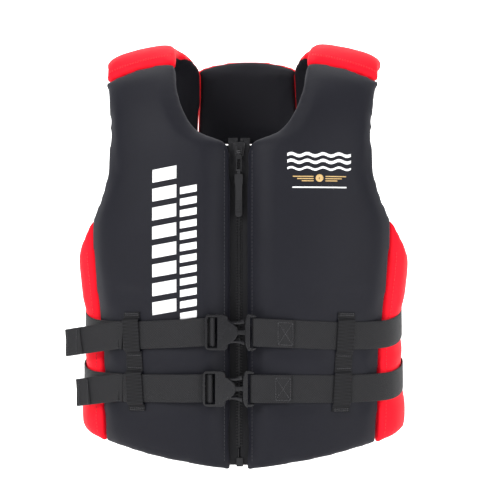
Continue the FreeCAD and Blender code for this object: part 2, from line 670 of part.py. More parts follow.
def strap_right(belt):
    """From beyond the keeper to the ladder, up through it over the middle bar and back."""
    level, x0 = BELT_LEVELS[belt], buckle_start(belt)
    bar_x, bar_out, bar_r = LADDER_BAR
    cx, cy = x0 + bar_x, BUCKLE_BACK - bar_out
    turn = bar_r + TURN_ROUND
    deep, shallow = 1.1, 3.4
    inner = run(level, x0 - 3, -KEEPER_PASS, deep, LAYER_1)
    outer = run(level, x0 - 3, -(KEEPER_PASS - 5.0), shallow, LAYER_2)
    bend = 1.7
    path = list(reversed(inner))
    path += [(x0 + 2, BUCKLE_BACK - deep), (x0 + 6, BUCKLE_BACK - deep),
             (cx + turn - bend - 1.5, BUCKLE_BACK - deep)]
    path += arc(cx + turn - bend, BUCKLE_BACK - deep - bend, bend, 90, 0, 22)
    path += arc(cx, cy, turn, 0, -180)
    path += arc(cx - turn - 1.3, BUCKLE_BACK - shallow - 1.3, 1.3, 0, 90, 22)
    path += [(x0 + 2.5, BUCKLE_BACK - shallow), (x0 + 0.5, BUCKLE_BACK - shallow)]
    return sloped(ribbon(path + outer, WEB, level, WEB_WIDTH), belt, x0, -1)


def strap_left(belt):
    """From beyond the keeper round the end bar, folded back and sewn to itself."""
    level, x0 = BELT_LEVELS[belt], buckle_start(belt)
    bar_x, bar_out, bar_r = END_BAR
    cx, cy = x0 + bar_x, BUCKLE_BACK - bar_out
    turn = bar_r + TURN_ROUND
    inner = run(level, cx, KEEPER_PASS + 16.0, bar_out - turn, LAYER_1)
    fold = run(level, cx, cx + 58, bar_out + turn, LAYER_2)
    meet = []
    for k, (x, y) in enumerate(fold):
        share = min(1.0, k / 4.0)
        after = next(i for i, p in enumerate(inner) if p[0] >= x)
        (xa, ya), (xb, yb) = inner[after - 1], inner[after]
        below = ya + (yb - ya) * (x - xa) / (xb - xa) - WEB - LAYER_GAP - 0.05
        meet.append((x, y + (below - y) * share * share * (3 - 2 * share)))
    path = list(reversed(inner[1:])) + arc(cx, cy, turn, 90, 270) + meet[1:8]
    return sloped(ribbon(path, WEB, level, WEB_WIDTH), belt, cx, 1)


def belt_level(belt, turn):
    away = math.degrees(abs(turn))
    return BELT_LEVELS[belt] + BELT_RISE * along(RISE, away) - BELT_SAG[belt] * along(SAG, away)


def back_strap(belt):
    """Round the sides and the back, from keeper to keeper."""
    level = BELT_LEVELS[belt]
    start = turn_at(-(KEEPER_PASS + 0.6), level)
    end = turn_at(KEEPER_X + KEEPER_WIDTH / 2 + 6.0, level)
    sweep = 2 * math.pi - abs(start) - end
    grids = ([], [])
    columns = 65
    for j in range(5):
        rows = ([], [])
        for i in range(columns):
            turn = end + sweep * i / (columns - 1)
            z = belt_level(belt, turn if turn < math.pi else 2 * math.pi - turn) + WEB_WIDTH * (j / 4 - 0.5)
            lap = LAYER_1 + (LAYER_2 - LAYER_1) * along([(0, 1.0), (5, 1.0), (9, 0.0)], i)
            rows[0].append(outside(turn, z, lap + WEB))
            rows[1].append(outside(turn, z, lap))
        grids[0].append(rows[0])
        grids[1].append(rows[1])
    return slab(grids[0], grids[1])


TAIL_DROOP = 0.15
FOLD_LENGTH = 25.0


def tail_hinge(belt):
    level = BELT_LEVELS[belt] - BELT_SAG[belt]
    turn = turn_at(-(KEEPER_PASS + 2.0), level)
    return outside(turn, level, LAYER_2 + WEB / 2 + 0.4)


def tail(belt):
    """The loose end: it leaves the keeper along the vest and stands off it, its end folded and sewn."""
    start, length = tail_hinge(belt), TAIL_LENGTH[belt]
    level = start.z
    heading = math.radians(180 - 27.0)
    grids = ([], [])
    columns = 17
    for j in (0, 1):
        rows = ([], [])
        for i in range(columns):
            s = length * i / (columns - 1)
            curl = heading - math.radians(4.0) * s / length
            x, y = start.x + s * math.cos(curl), start.y + s * math.sin(curl)
            out = Vector(math.sin(curl), -math.cos(curl), 0) * -1
            if out.dot(Vector(x, y, 0)) < 0:
                out = out * -1
            thick = WEB * (1.0 if s < length - FOLD_LENGTH else 2.1)
            z = level - TAIL_DROOP * s + WEB_WIDTH * (j - 0.5)
            rows[0].append(Vector(x, y, z) + out * (thick - WEB / 2))
            rows[1].append(Vector(x, y, z) - out * (WEB / 2))
        grids[0].append(rows[0])
        grids[1].append(rows[1])
    edge = bar(WEB / 2, WEB_WIDTH, start.x, start.y, level, Vector(0, 0, 1))
    return slab(grids[0], grids[1]).fuse(edge)


def keeper(x_mid, side, back, over):
    """Vertical webbing sewn to the vest above, between and below the two belts."""
    edges = []
    for belt in ("lower", "upper"):
        middle = belt_level(belt, turn_at(x_mid, BELT_LEVELS[belt], back))
        edges += [middle - WEB_WIDTH / 2, middle + WEB_WIDTH / 2]
    foot, top = edges[0] - KEEPER_END, edges[3] + KEEPER_END
    sewn = 0.5
    profile = [(foot, sewn), (edges[0] - 6.5, sewn), (edges[0] - 0.8, over), (edges[1] + 0.8, over),
               (edges[1] + 6.5, sewn), (edges[2] - 6.5, sewn), (edges[2] - 0.8, over),
               (edges[3] + 0.8, over),
               (edges[3] + 6.5, sewn), (top, sewn)]
    rows = 73
    outer, inner = [], []
    for j in range(rows):
        z = foot + (top - foot) * j / (rows - 1)
        lean = 0.0 if back else KEEPER_LEAN * ((z - foot) / (top - foot) - 0.5)
        distance = along(profile, z)
        lines = ([], [])
        for i in range(5):
            x = side * (x_mid + lean + KEEPER_WIDTH * (i / 4 - 0.5))
            turn = turn_at(x, z, back)
            lines[0].append(outside(turn, z, distance + WEB))
            lines[1].append(outside(turn, z, distance))
        outer.append(lines[0])
        inner.append(lines[1])
    return slab(outer, inner)


# --- side-release buckles -----------------------------------------------------------------

SLOT_HALF = WEB_WIDTH / 2 + 1.3
SOCKET = (17.0, 31.0)              # the female's body, along the buckle
HOLLOW = 20.6                      # half width of the socket's hollow
MOUTH = 17.0                       # half width between the catch ledges
LATCH_ROOT = (52.2, 13.8)


def buckle_plate(belt, outline, out0, out1):
    """A plate from an outline of (along, up), between two distances out from the buckle's back."""
    x0, level = buckle_start(belt), BELT_LEVELS[belt]
    return flat([(x0 + u, level + v) for u, v in outline], BUCKLE_BACK - out1, BUCKLE_BACK - out0)


def buckle_box(belt, u0, u1, half, out0, out1):
    return buckle_plate(belt, [(u0, -half), (u1, -half), (u1, half), (u0, half)], out0, out1)


def mirrored(half_outline):
    return half_outline + [(u, -v) for u, v in reversed(half_outline)]


def buckle_bar(belt, place):
    u, out, radius = place
    return bar(radius, 2 * SLOT_HALF + 1.4, buckle_start(belt) + u, BUCKLE_BACK - out, BELT_LEVELS[belt],
               Vector(0, 0, 1))


def buckle_female(belt):
    """A ladder frame for the webbing and a socket whose front and back run out as tongues."""
    frame = buckle_plate(belt, mirrored([(0.0, 14.0), (0.6, 19.5), (2.4, 22.8), (6.0, 24.2),
                                         (17.5, 24.3)]), 1.0, 10.5)
    frame = frame.cut(buckle_box(belt, 3.6, SOCKET[0] + 1, SLOT_HALF, -1, 14))
    frame = frame.cut(buckle_box(belt, -1.0, 4.0, SLOT_HALF, -1, 4.9))
    body = buckle_plate(belt, mirrored([(17.0, 24.4), (26.0, 24.2), (29.6, 22.6), (31.0, 19.8)]), 0.0, 12.0)
    tongue = mirrored([(30.5, 16.8), (34.0, 14.8), (38.0, 12.0), (42.0, 8.2), (44.4, 3.6)])
    body = joined([body, buckle_plate(belt, tongue, 0.0, 12.0)])
    body = body.cut(buckle_box(belt, SOCKET[0] + 3, 28.5, HOLLOW, 2.4, 9.6))
    body = body.cut(buckle_box(belt, 28.0, 48.0, MOUTH, 2.4, 9.6))
    return joined([frame, body, buckle_bar(belt, LADDER_BAR)])


def buckle_male(belt):
    """A crescent flange with the guide prong, and the end bar that carries the strap."""
    flange = buckle_plate(belt, mirrored([(54.9, 12.0), (55.4, 17.0), (57.0, 21.6), (59.4, 24.9),
                                          (61.3, 24.9)]),
                          0.3, 12.2)
    prong = buckle_plate(belt, mirrored([(24.0, 2.4), (26.0, 3.4), (55.4, 3.4)]), 4.0, 8.0)
    post = [(61.0, SLOT_HALF), (61.0, 24.8), (66.0, 24.4), (69.0, 23.0), (69.8, SLOT_HALF)]
    posts = [buckle_plate(belt, post, 1.0, 9.0), buckle_plate(belt, [(u, -v) for u, v in post], 1.0, 9.0)]
    return joined([flange, prong, buckle_bar(belt, END_BAR)] + posts)


def latch(belt, up):
    """A springy arm with a catch behind the socket's ledge; its root is round."""
    outline = [(52.2, 11.7), (46.0, 10.7), (34.0, 10.4), (24.0, 11.0), (22.4, 13.4), (22.6, 16.0),
               (24.6, 19.6),
               (27.8, 19.8), (28.1, 16.3), (31.0, 15.6), (38.0, 14.4), (44.0, 14.6), (49.0, 15.8),
               (52.6, 17.5),
               (54.0, 16.6), (54.2, 14.6)]
    arm = buckle_plate(belt, [(u, up * v) for u, v in outline], 3.2, 8.8)
    root = bar(2.2, 5.6, buckle_start(belt) + LATCH_ROOT[0], BUCKLE_BACK - 6.0,
               BELT_LEVELS[belt] + up * LATCH_ROOT[1], Vector(0, 1, 0))
    return joined([arm, root])


def belt_nodes():
    nodes = {}
    for belt in BELT_LEVELS:
        nodes[belt + "_strap_right"] = strap_right(belt)
        nodes[belt + "_strap_left"] = strap_left(belt)
        nodes[belt + "_strap_back"] = back_strap(belt)
        nodes[belt + "_tail"] = tail(belt)
        nodes[belt + "_buckle_female"] = buckle_female(belt)
        nodes[belt + "_buckle_male"] = buckle_male(belt)
        nodes[belt + "_latch_top"] = latch(belt, 1)
        nodes[belt + "_latch_bottom"] = latch(belt, -1)
    for name, side in (("right", -1), ("left", 1)):
        over = KEEPER_OVER_TWO if side < 0 else KEEPER_OVER_ONE
        nodes["front_keeper_" + name] = keeper(KEEPER_X, side, False, over)
        nodes["back_keeper_" + name] = keeper(BACK_KEEPER_X, side, True, KEEPER_OVER_ONE)
    return nodes


def main():
    os.makedirs("parts", exist_ok=True)
    nodes = {}
    nodes.update(vest_nodes())
    nodes.update(zip_nodes())
    nodes.update(belt_nodes())
    for name, shape in sorted(nodes.items()):
        for solid in shape.Solids:
            if not solid.isValid() or solid.Volume <= 0:
                raise ValueError(name + " is not a sound solid")
        shape.exportStep("parts/" + name + ".step")
        print(name, round(shape.Volume / 1000.0, 1), "cm3")


main()
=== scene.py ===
import bpy
import bmesh
import math
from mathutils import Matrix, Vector, noise
from mathutils.bvhtree import BVHTree
from mathutils.kdtree import KDTree


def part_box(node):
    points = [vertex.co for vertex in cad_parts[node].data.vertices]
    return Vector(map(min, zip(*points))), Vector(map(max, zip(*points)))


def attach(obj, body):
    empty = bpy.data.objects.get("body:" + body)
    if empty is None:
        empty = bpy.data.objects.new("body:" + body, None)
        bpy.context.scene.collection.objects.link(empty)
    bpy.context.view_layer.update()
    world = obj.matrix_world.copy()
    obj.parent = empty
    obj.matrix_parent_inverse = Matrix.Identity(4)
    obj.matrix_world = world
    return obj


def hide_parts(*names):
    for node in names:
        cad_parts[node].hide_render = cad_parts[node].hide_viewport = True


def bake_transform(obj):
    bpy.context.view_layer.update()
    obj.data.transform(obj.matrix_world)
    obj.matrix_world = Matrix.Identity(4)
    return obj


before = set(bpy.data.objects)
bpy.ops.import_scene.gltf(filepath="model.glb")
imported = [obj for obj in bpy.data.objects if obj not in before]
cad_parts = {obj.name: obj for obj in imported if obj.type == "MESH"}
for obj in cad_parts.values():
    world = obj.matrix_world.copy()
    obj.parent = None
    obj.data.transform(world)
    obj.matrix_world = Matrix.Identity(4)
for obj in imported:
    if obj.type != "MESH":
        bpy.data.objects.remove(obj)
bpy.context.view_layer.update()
bpy.ops.object.select_all(action="DESELECT")

# --- Foam-filled neoprene panels --------------------------------------------------------------
# Eight sewn pads make the vest: two fronts, two shoulders, the nape yoke, the back and two sides.
# Each is closed-cell foam between a laminated neoprene cover and a black lining, sewn edge to edge.
VOXEL = 0.0055
AIR_STEPS = 20
PUFF = 0.0038           # how far foam and air push a cover out between its seams
SEAM_PUFF = 0.0010      # and beside a seam, where stitching holds it down
BELT_PUFF = 0.0009      # and under a tightened belt or a keeper
ZIP_PUFF = 0.0006       # and along the zip
PLAIN_PUFF = 0.7        # share of the room that is taken where no air is blown in
# How far from its middle each holds a cover right down, and over what distance it then lets go.
SEAM_EDGE, BELT_EDGE, ZIP_EDGE, KEEPER_EDGE = 0.002, 0.018, 0.011, 0.010
SEAM_REACH, BELT_REACH, ZIP_REACH, KEEPER_REACH = 0.030, 0.022, 0.036, 0.020
MEET = 0.0010           # takes up the gap left between neighbouring solids

HALF_WIDTH, FRONT_DEPTH, NECK = 0.233, 0.146, 0.47
BELT_LEVELS = {"upper": 0.190, "lower": 0.114}
BELT_SAG = {"upper": 0.006, "lower": 0.002}
BELT_RISE = 0.018
KEEPER_X, BACK_KEEPER_X, KEEPER_LEAN = 0.142, 0.100, 0.008
KEEPER_MIDDLE, KEEPER_LENGTH, KEEPER_SPAN = 0.152, 0.138, (0.075, 0.245)
LINING = (0.009, 0.009, 0.012)


def along(table, t):
    """A smooth curve with no overshoot through a short table of (t, value)."""
    last = len(table) - 1
    if t <= table[0][0]:
        return table[0][1]
    if t >= table[last][0]:
        return table[last][1]
    k = max(i for i in range(last) if table[i][0] <= t)
    steps = [(b[1] - a[1]) / (b[0] - a[0]) for a, b in zip(table, table[1:])]

    def slope(i):
        if i in (0, last):
            return steps[min(i, last - 1)]
        if steps[i - 1] * steps[i] <= 0:
            return 0.0
        return 2 * steps[i - 1] * steps[i] / (steps[i - 1] + steps[i])

    span = table[k + 1][0] - table[k][0]
    u = (t - table[k][0]) / span
    return (table[k][1] * (1 + 2 * u) * (1 - u) ** 2 + table[k + 1][1] * u * u * (3 - 2 * u)
            + span * (slope(k) * u * (1 - u) ** 2 + slope(k + 1) * u * u * (u - 1)))


def belt_height(belt, turn):
    """Level of a belt's middle line, turn being the angle round the body from the front."""
    away = math.degrees(abs(turn))
    rise = along([(0, 0.0), (55, 0.0), (90, 0.62), (140, 0.95), (180, 1.0)], away)
    sag = along([(0, 0.0), (45, 1.0), (62, 0.8), (90, 0.0)], away)
    return BELT_LEVELS[belt] + BELT_RISE * rise - BELT_SAG[belt] * sag


def socket(group, name, kind, way, value=None):
    """A named way into or out of a node group."""
    made = group.interface.new_socket(name=name, in_out=way, socket_type=kind)
    if value is not None:
        made.default_value = value
    return made


def worked(tree, operation, *given):
    """A sum on numbers and other nodes' outputs, in order."""
    made = tree.nodes.new("ShaderNodeMath")
    made.operation = operation
    for place, value in zip(made.inputs, given):
        if isinstance(value, (int, float)):
            place.default_value = value
        else:
            tree.links.new(value, place)
    return made.outputs[0]


def place_in(tree):
    """A point's own place on the object, in metres."""
    return tree.nodes.new("ShaderNodeTexCoord").outputs["Object"]


def mottle(tree, place, scale, detail=2.0):
    """Cloudy unevenness of one scale, read at a place."""
    made = tree.nodes.new("ShaderNodeTexNoise")
    made.inputs["Scale"].default_value = scale
    made.inputs["Detail"].default_value = detail
    tree.links.new(place, made.inputs["Vector"])
    return made.outputs["Fac"]


def mixed(tree, share, first, second):
    """A colour between two, each given as numbers or as another node's output."""
    made = tree.nodes.new("ShaderNodeMix")
    made.data_type = "RGBA"
    tree.links.new(share, made.inputs["Factor"])
    for name, colour in (("A", first), ("B", second)):
        if isinstance(colour, tuple):
            made.inputs[name].default_value = (*colour, 1)
        else:
            tree.links.new(colour, made.inputs[name])
    return made.outputs["Result"]


def knit_group():
    """Fine jersey face of laminated neoprene: small stitches over a soft, padded unevenness."""
    group = bpy.data.node_groups.new("Neoprene jersey", "ShaderNodeTree")
    socket(group, "Stitch size", "NodeSocketFloat", "INPUT", 1400.0)
    socket(group, "Unevenness", "NodeSocketFloat", "INPUT", 0.5)
    socket(group, "Height", "NodeSocketFloat", "OUTPUT")
    socket(group, "Shade", "NodeSocketFloat", "OUTPUT")
    given, out = group.nodes.new("NodeGroupInput"), group.nodes.new("NodeGroupOutput")
    place = place_in(group)
    cell = group.nodes.new("ShaderNodeTexVoronoi")
    cell.feature = "F1"
    group.links.new(place, cell.inputs["Vector"])
    group.links.new(given.outputs["Stitch size"], cell.inputs["Scale"])
    soft = mottle(group, place, 16.0, 3.0)
    fibre = mottle(group, place, 260.0, 4.0)
    uneven = worked(group, "MULTIPLY", soft, given.outputs["Unevenness"])
    small = worked(group, "MULTIPLY_ADD", cell.outputs["Distance"], 0.04, uneven)
    group.links.new(worked(group, "MULTIPLY_ADD", fibre, 0.03, small), out.inputs["Height"])
    half = worked(group, "MULTIPLY", soft, 0.5)
    group.links.new(worked(group, "MULTIPLY_ADD", fibre, 0.5, half), out.inputs["Shade"])
    return group


KNIT = knit_group()


def shader(name, rough, **constants):
    """A new material and its Principled shader, with plain values for the sockets named."""
    made = bpy.data.materials.new(name)
    made.use_nodes = True
    surface = made.node_tree.nodes["Principled BSDF"]
    surface.inputs["Roughness"].default_value = rough
    for key, value in constants.items():
        surface.inputs[key.replace("_", " ").title().replace("Ior", "IOR")].default_value = value
    return made, surface


def two_tone(made, surface, mask, dark, light):
    """Base colour between two by a mask."""
    made.node_tree.links.new(mixed(made.node_tree, mask, dark, light), surface.inputs["Base Color"])


def relief(made, surface, height, strength, depth):
    """Fine relief of the surface from a height."""
    bump = made.node_tree.nodes.new("ShaderNodeBump")
    bump.inputs["Strength"].default_value = strength
    bump.inputs["Distance"].default_value = depth
    made.node_tree.links.new(height, bump.inputs["Height"])
    made.node_tree.links.new(bump.outputs["Normal"], surface.inputs["Normal"])


def neoprene(name, dark, light, rough, sheen, tint, specular, edge_at=0.0010):
    """Jersey-faced neoprene outside and plain black lining inside, told apart by how near each is."""
    made, surface = shader(name, rough, sheen_weight=sheen, sheen_roughness=0.45,
                           specular_ior_level=specular)
    surface.inputs["Sheen Tint"].default_value = (*tint, 1)
    tree = made.node_tree
    knit = tree.nodes.new("ShaderNodeGroup")
    knit.node_tree = KNIT
    knit.inputs["Stitch size"].default_value = 1400.0
    knit.inputs["Unevenness"].default_value = 0.5
    lined = tree.nodes.new("ShaderNodeAttribute")
    lined.attribute_name = "inside"
    edge = tree.nodes.new("ShaderNodeMapRange")
    edge.inputs["From Min"].default_value = edge_at
    edge.inputs["From Max"].default_value = edge_at + 0.0006
    tree.links.new(lined.outputs["Fac"], edge.inputs["Value"])
    face = mixed(tree, knit.outputs["Shade"], dark, light)
    two_tone(made, surface, edge.outputs["Result"], face, LINING)
    relief(made, surface, knit.outputs["Height"], 0.35, 0.0016)
    return made


RED_FACE = dict(dark=(0.78, 0.002, 0.012), light=(0.95, 0.006, 0.022), rough=0.62, sheen=0.0,
                tint=(1.0, 0.6, 0.6), specular=0.12)
BLACK = neoprene("Black neoprene", dark=(0.0034, 0.0035, 0.0062), light=(0.0078, 0.0080, 0.0130),
                 rough=0.58, sheen=0.04, tint=(0.75, 0.78, 1.0), specular=0.17)
RED = neoprene("Red neoprene", **RED_FACE)
NAPE = neoprene("Red neoprene at the nape", **RED_FACE, edge_at=-0.0060)


def only(obj):
    """Selects one object and nothing else."""
    bpy.ops.object.select_all(action="DESELECT")
    obj.select_set(True)
    bpy.context.view_layer.objects.active = obj


def copy_of(name, *nodes):
    """One new mesh from copies of CAD nodes, its doubles merged."""
    made = bmesh.new()
    for node in nodes:
        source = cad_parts[node]
        start = len(made.verts)
        made.from_mesh(source.data)
        made.verts.ensure_lookup_table()
        bmesh.ops.transform(made, matrix=source.matrix_world, verts=made.verts[start:])
    bmesh.ops.remove_doubles(made, verts=made.verts, dist=0.00001)
    mesh = bpy.data.meshes.new(name)
    made.to_mesh(mesh)
    made.free()
    obj = bpy.data.objects.new(name, mesh)
    bpy.context.scene.collection.objects.link(obj)
    return obj


PANELS = {}
for side in ("right", "left"):
    for part, finish in (("front", BLACK), ("shoulder", RED), ("side", RED)):
        layers = [part + "_" + layer + "_" + side for layer in ("cover", "foam", "lining")]
        PANELS[part + "_pad_" + side] = (layers, finish)
PANELS["yoke_pad"] = (["back_yoke_cover", "back_foam_upper", "back_yoke_lining"], NAPE)
PANELS["back_pad"] = (["back_cover", "back_foam_middle", "back_foam_lower", "back_lining"], BLACK)


def swell(obj):
    """Blows the pad up as cloth under pressure, leaving each point where it went."""
    only(obj)
    cloth = obj.modifiers.new("Air", "CLOTH")
    cloth.settings.effector_weights.gravity = 0.0
    cloth.settings.use_pressure = True
    cloth.settings.uniform_pressure_force = 4.0
    cloth.settings.quality = 4
    cloth.settings.mass = 0.3
    cloth.settings.tension_stiffness = 12
    cloth.settings.compression_stiffness = 12
    cloth.collision_settings.use_collision = False
    cloth.point_cache.frame_start = 1
    cloth.point_cache.frame_end = AIR_STEPS
    for number in range(1, AIR_STEPS + 1):
        bpy.context.scene.frame_set(number)
    bpy.ops.object.modifier_apply(modifier=cloth.name)
    bpy.context.scene.frame_set(1)


def tree_of(nodes, step=0.002):
    """A search tree of the nodes' points, thinned to one in each small cell."""
    points = {}
    for node in nodes:
        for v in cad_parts[node].data.vertices:
            points[(round(v.co.x / step), round(v.co.y / step), round(v.co.z / step))] = v.co.copy()
    tree = KDTree(len(points))
    for i, key in enumerate(sorted(points)):
        tree.insert(points[key], i)
    tree.balance()
    return tree


def shape_of(node):
    """A search tree of a CAD node's surface."""
    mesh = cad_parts[node].data
    return BVHTree.FromPolygons([v.co for v in mesh.vertices], [tuple(p.vertices) for p in mesh.polygons])


def eased(share):
    """From 0 to 1 with a soft start and end, and held there."""
    share = min(1.0, max(0.0, share))
    return share * share * (3 - 2 * share)


def room(point, tree):
    """How far a cover can stand out at a point: little by a seam, a belt, the zip or a keeper."""
    seam = tree.find(point)[2]
    limit = SEAM_PUFF + (PUFF - SEAM_PUFF) * eased((seam - SEAM_EDGE) / SEAM_REACH)
    turn = math.atan2(abs(point.x) / HALF_WIDTH, -point.y / FRONT_DEPTH)
    for belt in BELT_LEVELS:
        past_edge = abs(point.z - belt_height(belt, turn)) - BELT_EDGE
        limit = min(limit, BELT_PUFF + (PUFF - BELT_PUFF) * eased(past_edge / BELT_REACH))
    if point.y < 0 and abs(point.x) < 0.05 and point.z < NECK:
        share = min(1.0, max(0.0, (abs(point.x) - ZIP_EDGE) / ZIP_REACH))
        limit = min(limit, ZIP_PUFF + (PUFF - ZIP_PUFF) * share)
    if KEEPER_SPAN[0] < point.z < KEEPER_SPAN[1]:
        front = KEEPER_X + KEEPER_LEAN * (point.z - KEEPER_MIDDLE) / KEEPER_LENGTH
        middle = BACK_KEEPER_X if point.y > 0 else front
        past_edge = abs(abs(point.x) - middle) - KEEPER_EDGE
        limit = min(limit, BELT_PUFF + (PUFF - BELT_PUFF) * eased(past_edge / KEEPER_REACH))
    return limit


pads = {}
for name, (nodes, finish) in PANELS.items():
    pad = copy_of(name, *nodes)
    only(pad)
    pad.data.remesh_voxel_size = VOXEL
    bpy.ops.object.voxel_remesh()
    bpy.ops.object.mode_set(mode="EDIT")
    bpy.ops.mesh.select_all(action="SELECT")
    bpy.ops.mesh.vertices_smooth(factor=0.5, repeat=3)
    bpy.ops.transform.shrink_fatten(value=MEET)
    bpy.ops.object.mode_set(mode="OBJECT")
    rest = [v.co.copy() for v in pad.data.vertices]
    normals = [v.normal.copy() for v in pad.data.vertices]
    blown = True
    if blown:
        swell(pad)
    tree = tree_of([layers[0] for other, (layers, _) in PANELS.items() if other != name])
    for v, start, normal in zip(pad.data.vertices, rest, normals):
        limit = room(start, tree)
        move = v.co - start if blown else normal * limit * PLAIN_PUFF
        if move.length > limit:
            move *= limit / move.length
        v.co = start + move
    bpy.ops.object.mode_set(mode="EDIT")
    bpy.ops.mesh.select_all(action="SELECT")
    bpy.ops.mesh.vertices_smooth(factor=0.5, repeat=2)
    bpy.ops.mesh.normals_make_consistent(inside=False)
    bpy.ops.object.mode_set(mode="OBJECT")
    pad.data.materials.append(finish)
    for face in pad.data.polygons:
        face.use_smooth = True
    smooth = pad.modifiers.new("Smooth", "SUBSURF")
    smooth.levels = smooth.render_levels = 1
    only(pad)
    bpy.ops.object.modifier_apply(modifier=smooth.name)
    lining_tree, cover_tree = shape_of(nodes[-1]), shape_of(nodes[0])
    inside = pad.data.attributes.new("inside", "FLOAT", "POINT")
    apart = [cover_tree.find_nearest(v.co)[3] - lining_tree.find_nearest(v.co)[3] for v in pad.data.vertices]
    inside.data.foreach_set("value", apart)
    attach(pad, "vest")
    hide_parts(*nodes)
    pads[name] = pad

# --- Seam stitching ---------------------------------------------------------------------------
# Rows of bonded polyester thread hold the turned edges down: one beside each seam of the red sides,
# two across each shoulder above its front seam, and one down each front beside the zip.
BACK_DEPTH, HEIGHT, ROUNDNESS = 0.140, 0.596, 2.5
SEAM_LINE = [(0.0, 0.85), (0.12, 0.858), (0.25, 0.88), (0.38, 0.912), (0.5, 0.915), (0.59, 0.925)]
SIDE_ROW = 0.062        # how far round from a side seam its row of stitches runs, in radians
ZIP_ROW = 0.019         # how far from the middle the rows beside the zip run
UNDER_BELT = 0.021
ON_CLOTH = 0.0001


def face_of(pad):
    """A search tree of a finished pad's surface."""
    return BVHTree.FromObject(pad, bpy.context.evaluated_depsgraph_get())


faces = {name: face_of(pad) for name, pad in pads.items()}


def surface_at(tree, start, way, lift):
    """The point where a line from outside meets a pad, lifted off it, and the pad's normal there."""
    hit, normal, _, _ = tree.ray_cast(Vector(start), Vector(way))
    if hit is None:
        return None
    return hit + normal * lift, normal


def stitch(made, a, b, up, radius):
    """One stitch: a short six-sided thread that dips into the cloth at both ends."""
    along_it = (b - a).normalized()
    side = along_it.cross(up).normalized()
    rings = []
    for share, out, size in ((0.0, -0.7, 0.7), (0.18, 0.3, 1.0), (0.82, 0.3, 1.0), (1.0, -0.7, 0.7)):
        middle = a.lerp(b, share) + up * (out * radius)
        rings.append([made.verts.new(middle + (side * math.cos(turn) + up * math.sin(turn)) * (radius * size))
                      for turn in (math.pi * k / 3 for k in range(6))])
    for low, high in zip(rings, rings[1:]):
        for k in range(6):
            made.faces.new((low[k], low[(k + 1) % 6], high[(k + 1) % 6], high[k]))
    made.faces.new(list(reversed(rings[0])))
    made.faces.new(rings[-1])


def thread_rows(made, points, length=0.0030, gap=0.0012, radius=0.00038):
    """Stitches laid one after another along a row of (point, normal)."""
    row = [p for p in points if p is not None]
    walked, start, (last, _) = 0.0, None, row[0]
    for point, normal in row[1:]:
        walked += (point - last).length
        last = point
        if start is None:
            if walked >= gap:
                start, walked = point, 0.0
        elif walked >= length:
            stitch(made, start, point, normal, radius)
            start, walked = None, 0.0


def finished(name, made, material, smooth=True):
    """A new object from a bmesh, with its material, slot and outward normals."""
    bmesh.ops.recalc_face_normals(made, faces=made.faces)
    mesh = bpy.data.meshes.new(name)
    made.to_mesh(mesh)
    made.free()
    mesh.materials.append(material)
    for face in mesh.polygons:
        face.use_smooth = smooth
    obj = bpy.data.objects.new(name, mesh)
    bpy.context.scene.collection.objects.link(obj)
    return obj


def half_width(z):
    """The vest's half width at a height."""
    share = along([(0, 0.955), (0.12, 0.975), (0.30, 0.957), (0.52, 1.0), (0.64, 0.975), (0.76, 0.95),
                   (1.0, 0.935)], z / HEIGHT)
    return HALF_WIDTH * share


def half_depth(z, back):
    """How far its front or back stands from the axis at a height."""
    if back:
        share = along([(0, 0.93), (0.2, 0.95), (0.33, 0.95), (0.55, 1.0), (0.7, 0.99)], z / HEIGHT)
        return BACK_DEPTH * share
    share = along([(0, 0.97), (0.2, 0.985), (0.4, 0.99), (0.55, 1.0), (0.7, 0.975)], z / HEIGHT)
    return FRONT_DEPTH * share


def around(turn, z):
    """Point of the vest's outer form by direction: 0 is the front, a quarter turn the side at +X."""
    s, c = math.sin(turn), -math.cos(turn)
    size = (abs(s) ** ROUNDNESS + abs(c) ** ROUNDNESS) ** (-1 / ROUNDNESS)
    return Vector((half_width(z) * s * size, half_depth(z, c > 0) * c * size, z))


def turn_at(x, z, back=False):
    """The direction at which the form is x from the axis."""
    q = min(0.9999, abs(x) / half_width(z))
    turn = math.atan2(q, (1 - q ** ROUNDNESS) ** (1 / ROUNDNESS))
    return math.copysign(math.pi - turn if back else turn, x)


def outward(turn, z):
    """Square to the form in plan."""
    n = (around(turn + 0.002, z) - around(turn - 0.002, z)).cross(Vector((0, 0, 1)))
    n.z = 0
    if n.dot(around(turn, z)) < 0:
        n.negate()
    return n.normalized()


def outside(turn, z, distance):
    """The point at a distance out from the form."""
    return around(turn, z) + outward(turn, z) * distance


def spaced(low, high, count):
    """count places from low to high, evenly apart."""
    return [low + (high - low) * k / (count - 1) for k in range(count)]


def thread_material(name, colour):
    """Twisted thread, with painted shade between its plies."""
    made, surface = shader(name, 0.55, sheen_weight=0.2)
    ply_shade_and_relief = mottle(made.node_tree, place_in(made.node_tree), 2400.0)
    # painted shade: the colour goes darker where the same noise sinks the relief, between the plies
    two_tone(made, surface, ply_shade_and_relief, tuple(c * 0.6 for c in colour), tuple(min(1, c * 1.3) for c in colour))
    relief(made, surface, ply_shade_and_relief, 0.4, 0.0003)
    return made


RED_THREAD = thread_material("Red thread", (0.42, 0.003, 0.010))
BLACK_THREAD = thread_material("Black thread", (0.018, 0.018, 0.023))


def side_row(side, sign, back):
    """Points up a red side beside its front or back seam, with none under a belt."""
    row = []
    for z in spaced(0.045, 0.300, 290):
        seam = turn_at(half_width(z) * along(SEAM_LINE, z / HEIGHT), z, back)
        turn = sign * (seam - SIDE_ROW if back else seam + SIDE_ROW)
        if min(abs(z - belt_height(belt, turn)) for belt in BELT_LEVELS) < UNDER_BELT:
            row.append(None)
            continue
        row.append(surface_at(faces["side_pad_" + side], outside(turn, z, 0.03), -outward(turn, z),
                              ON_CLOTH))
    return row


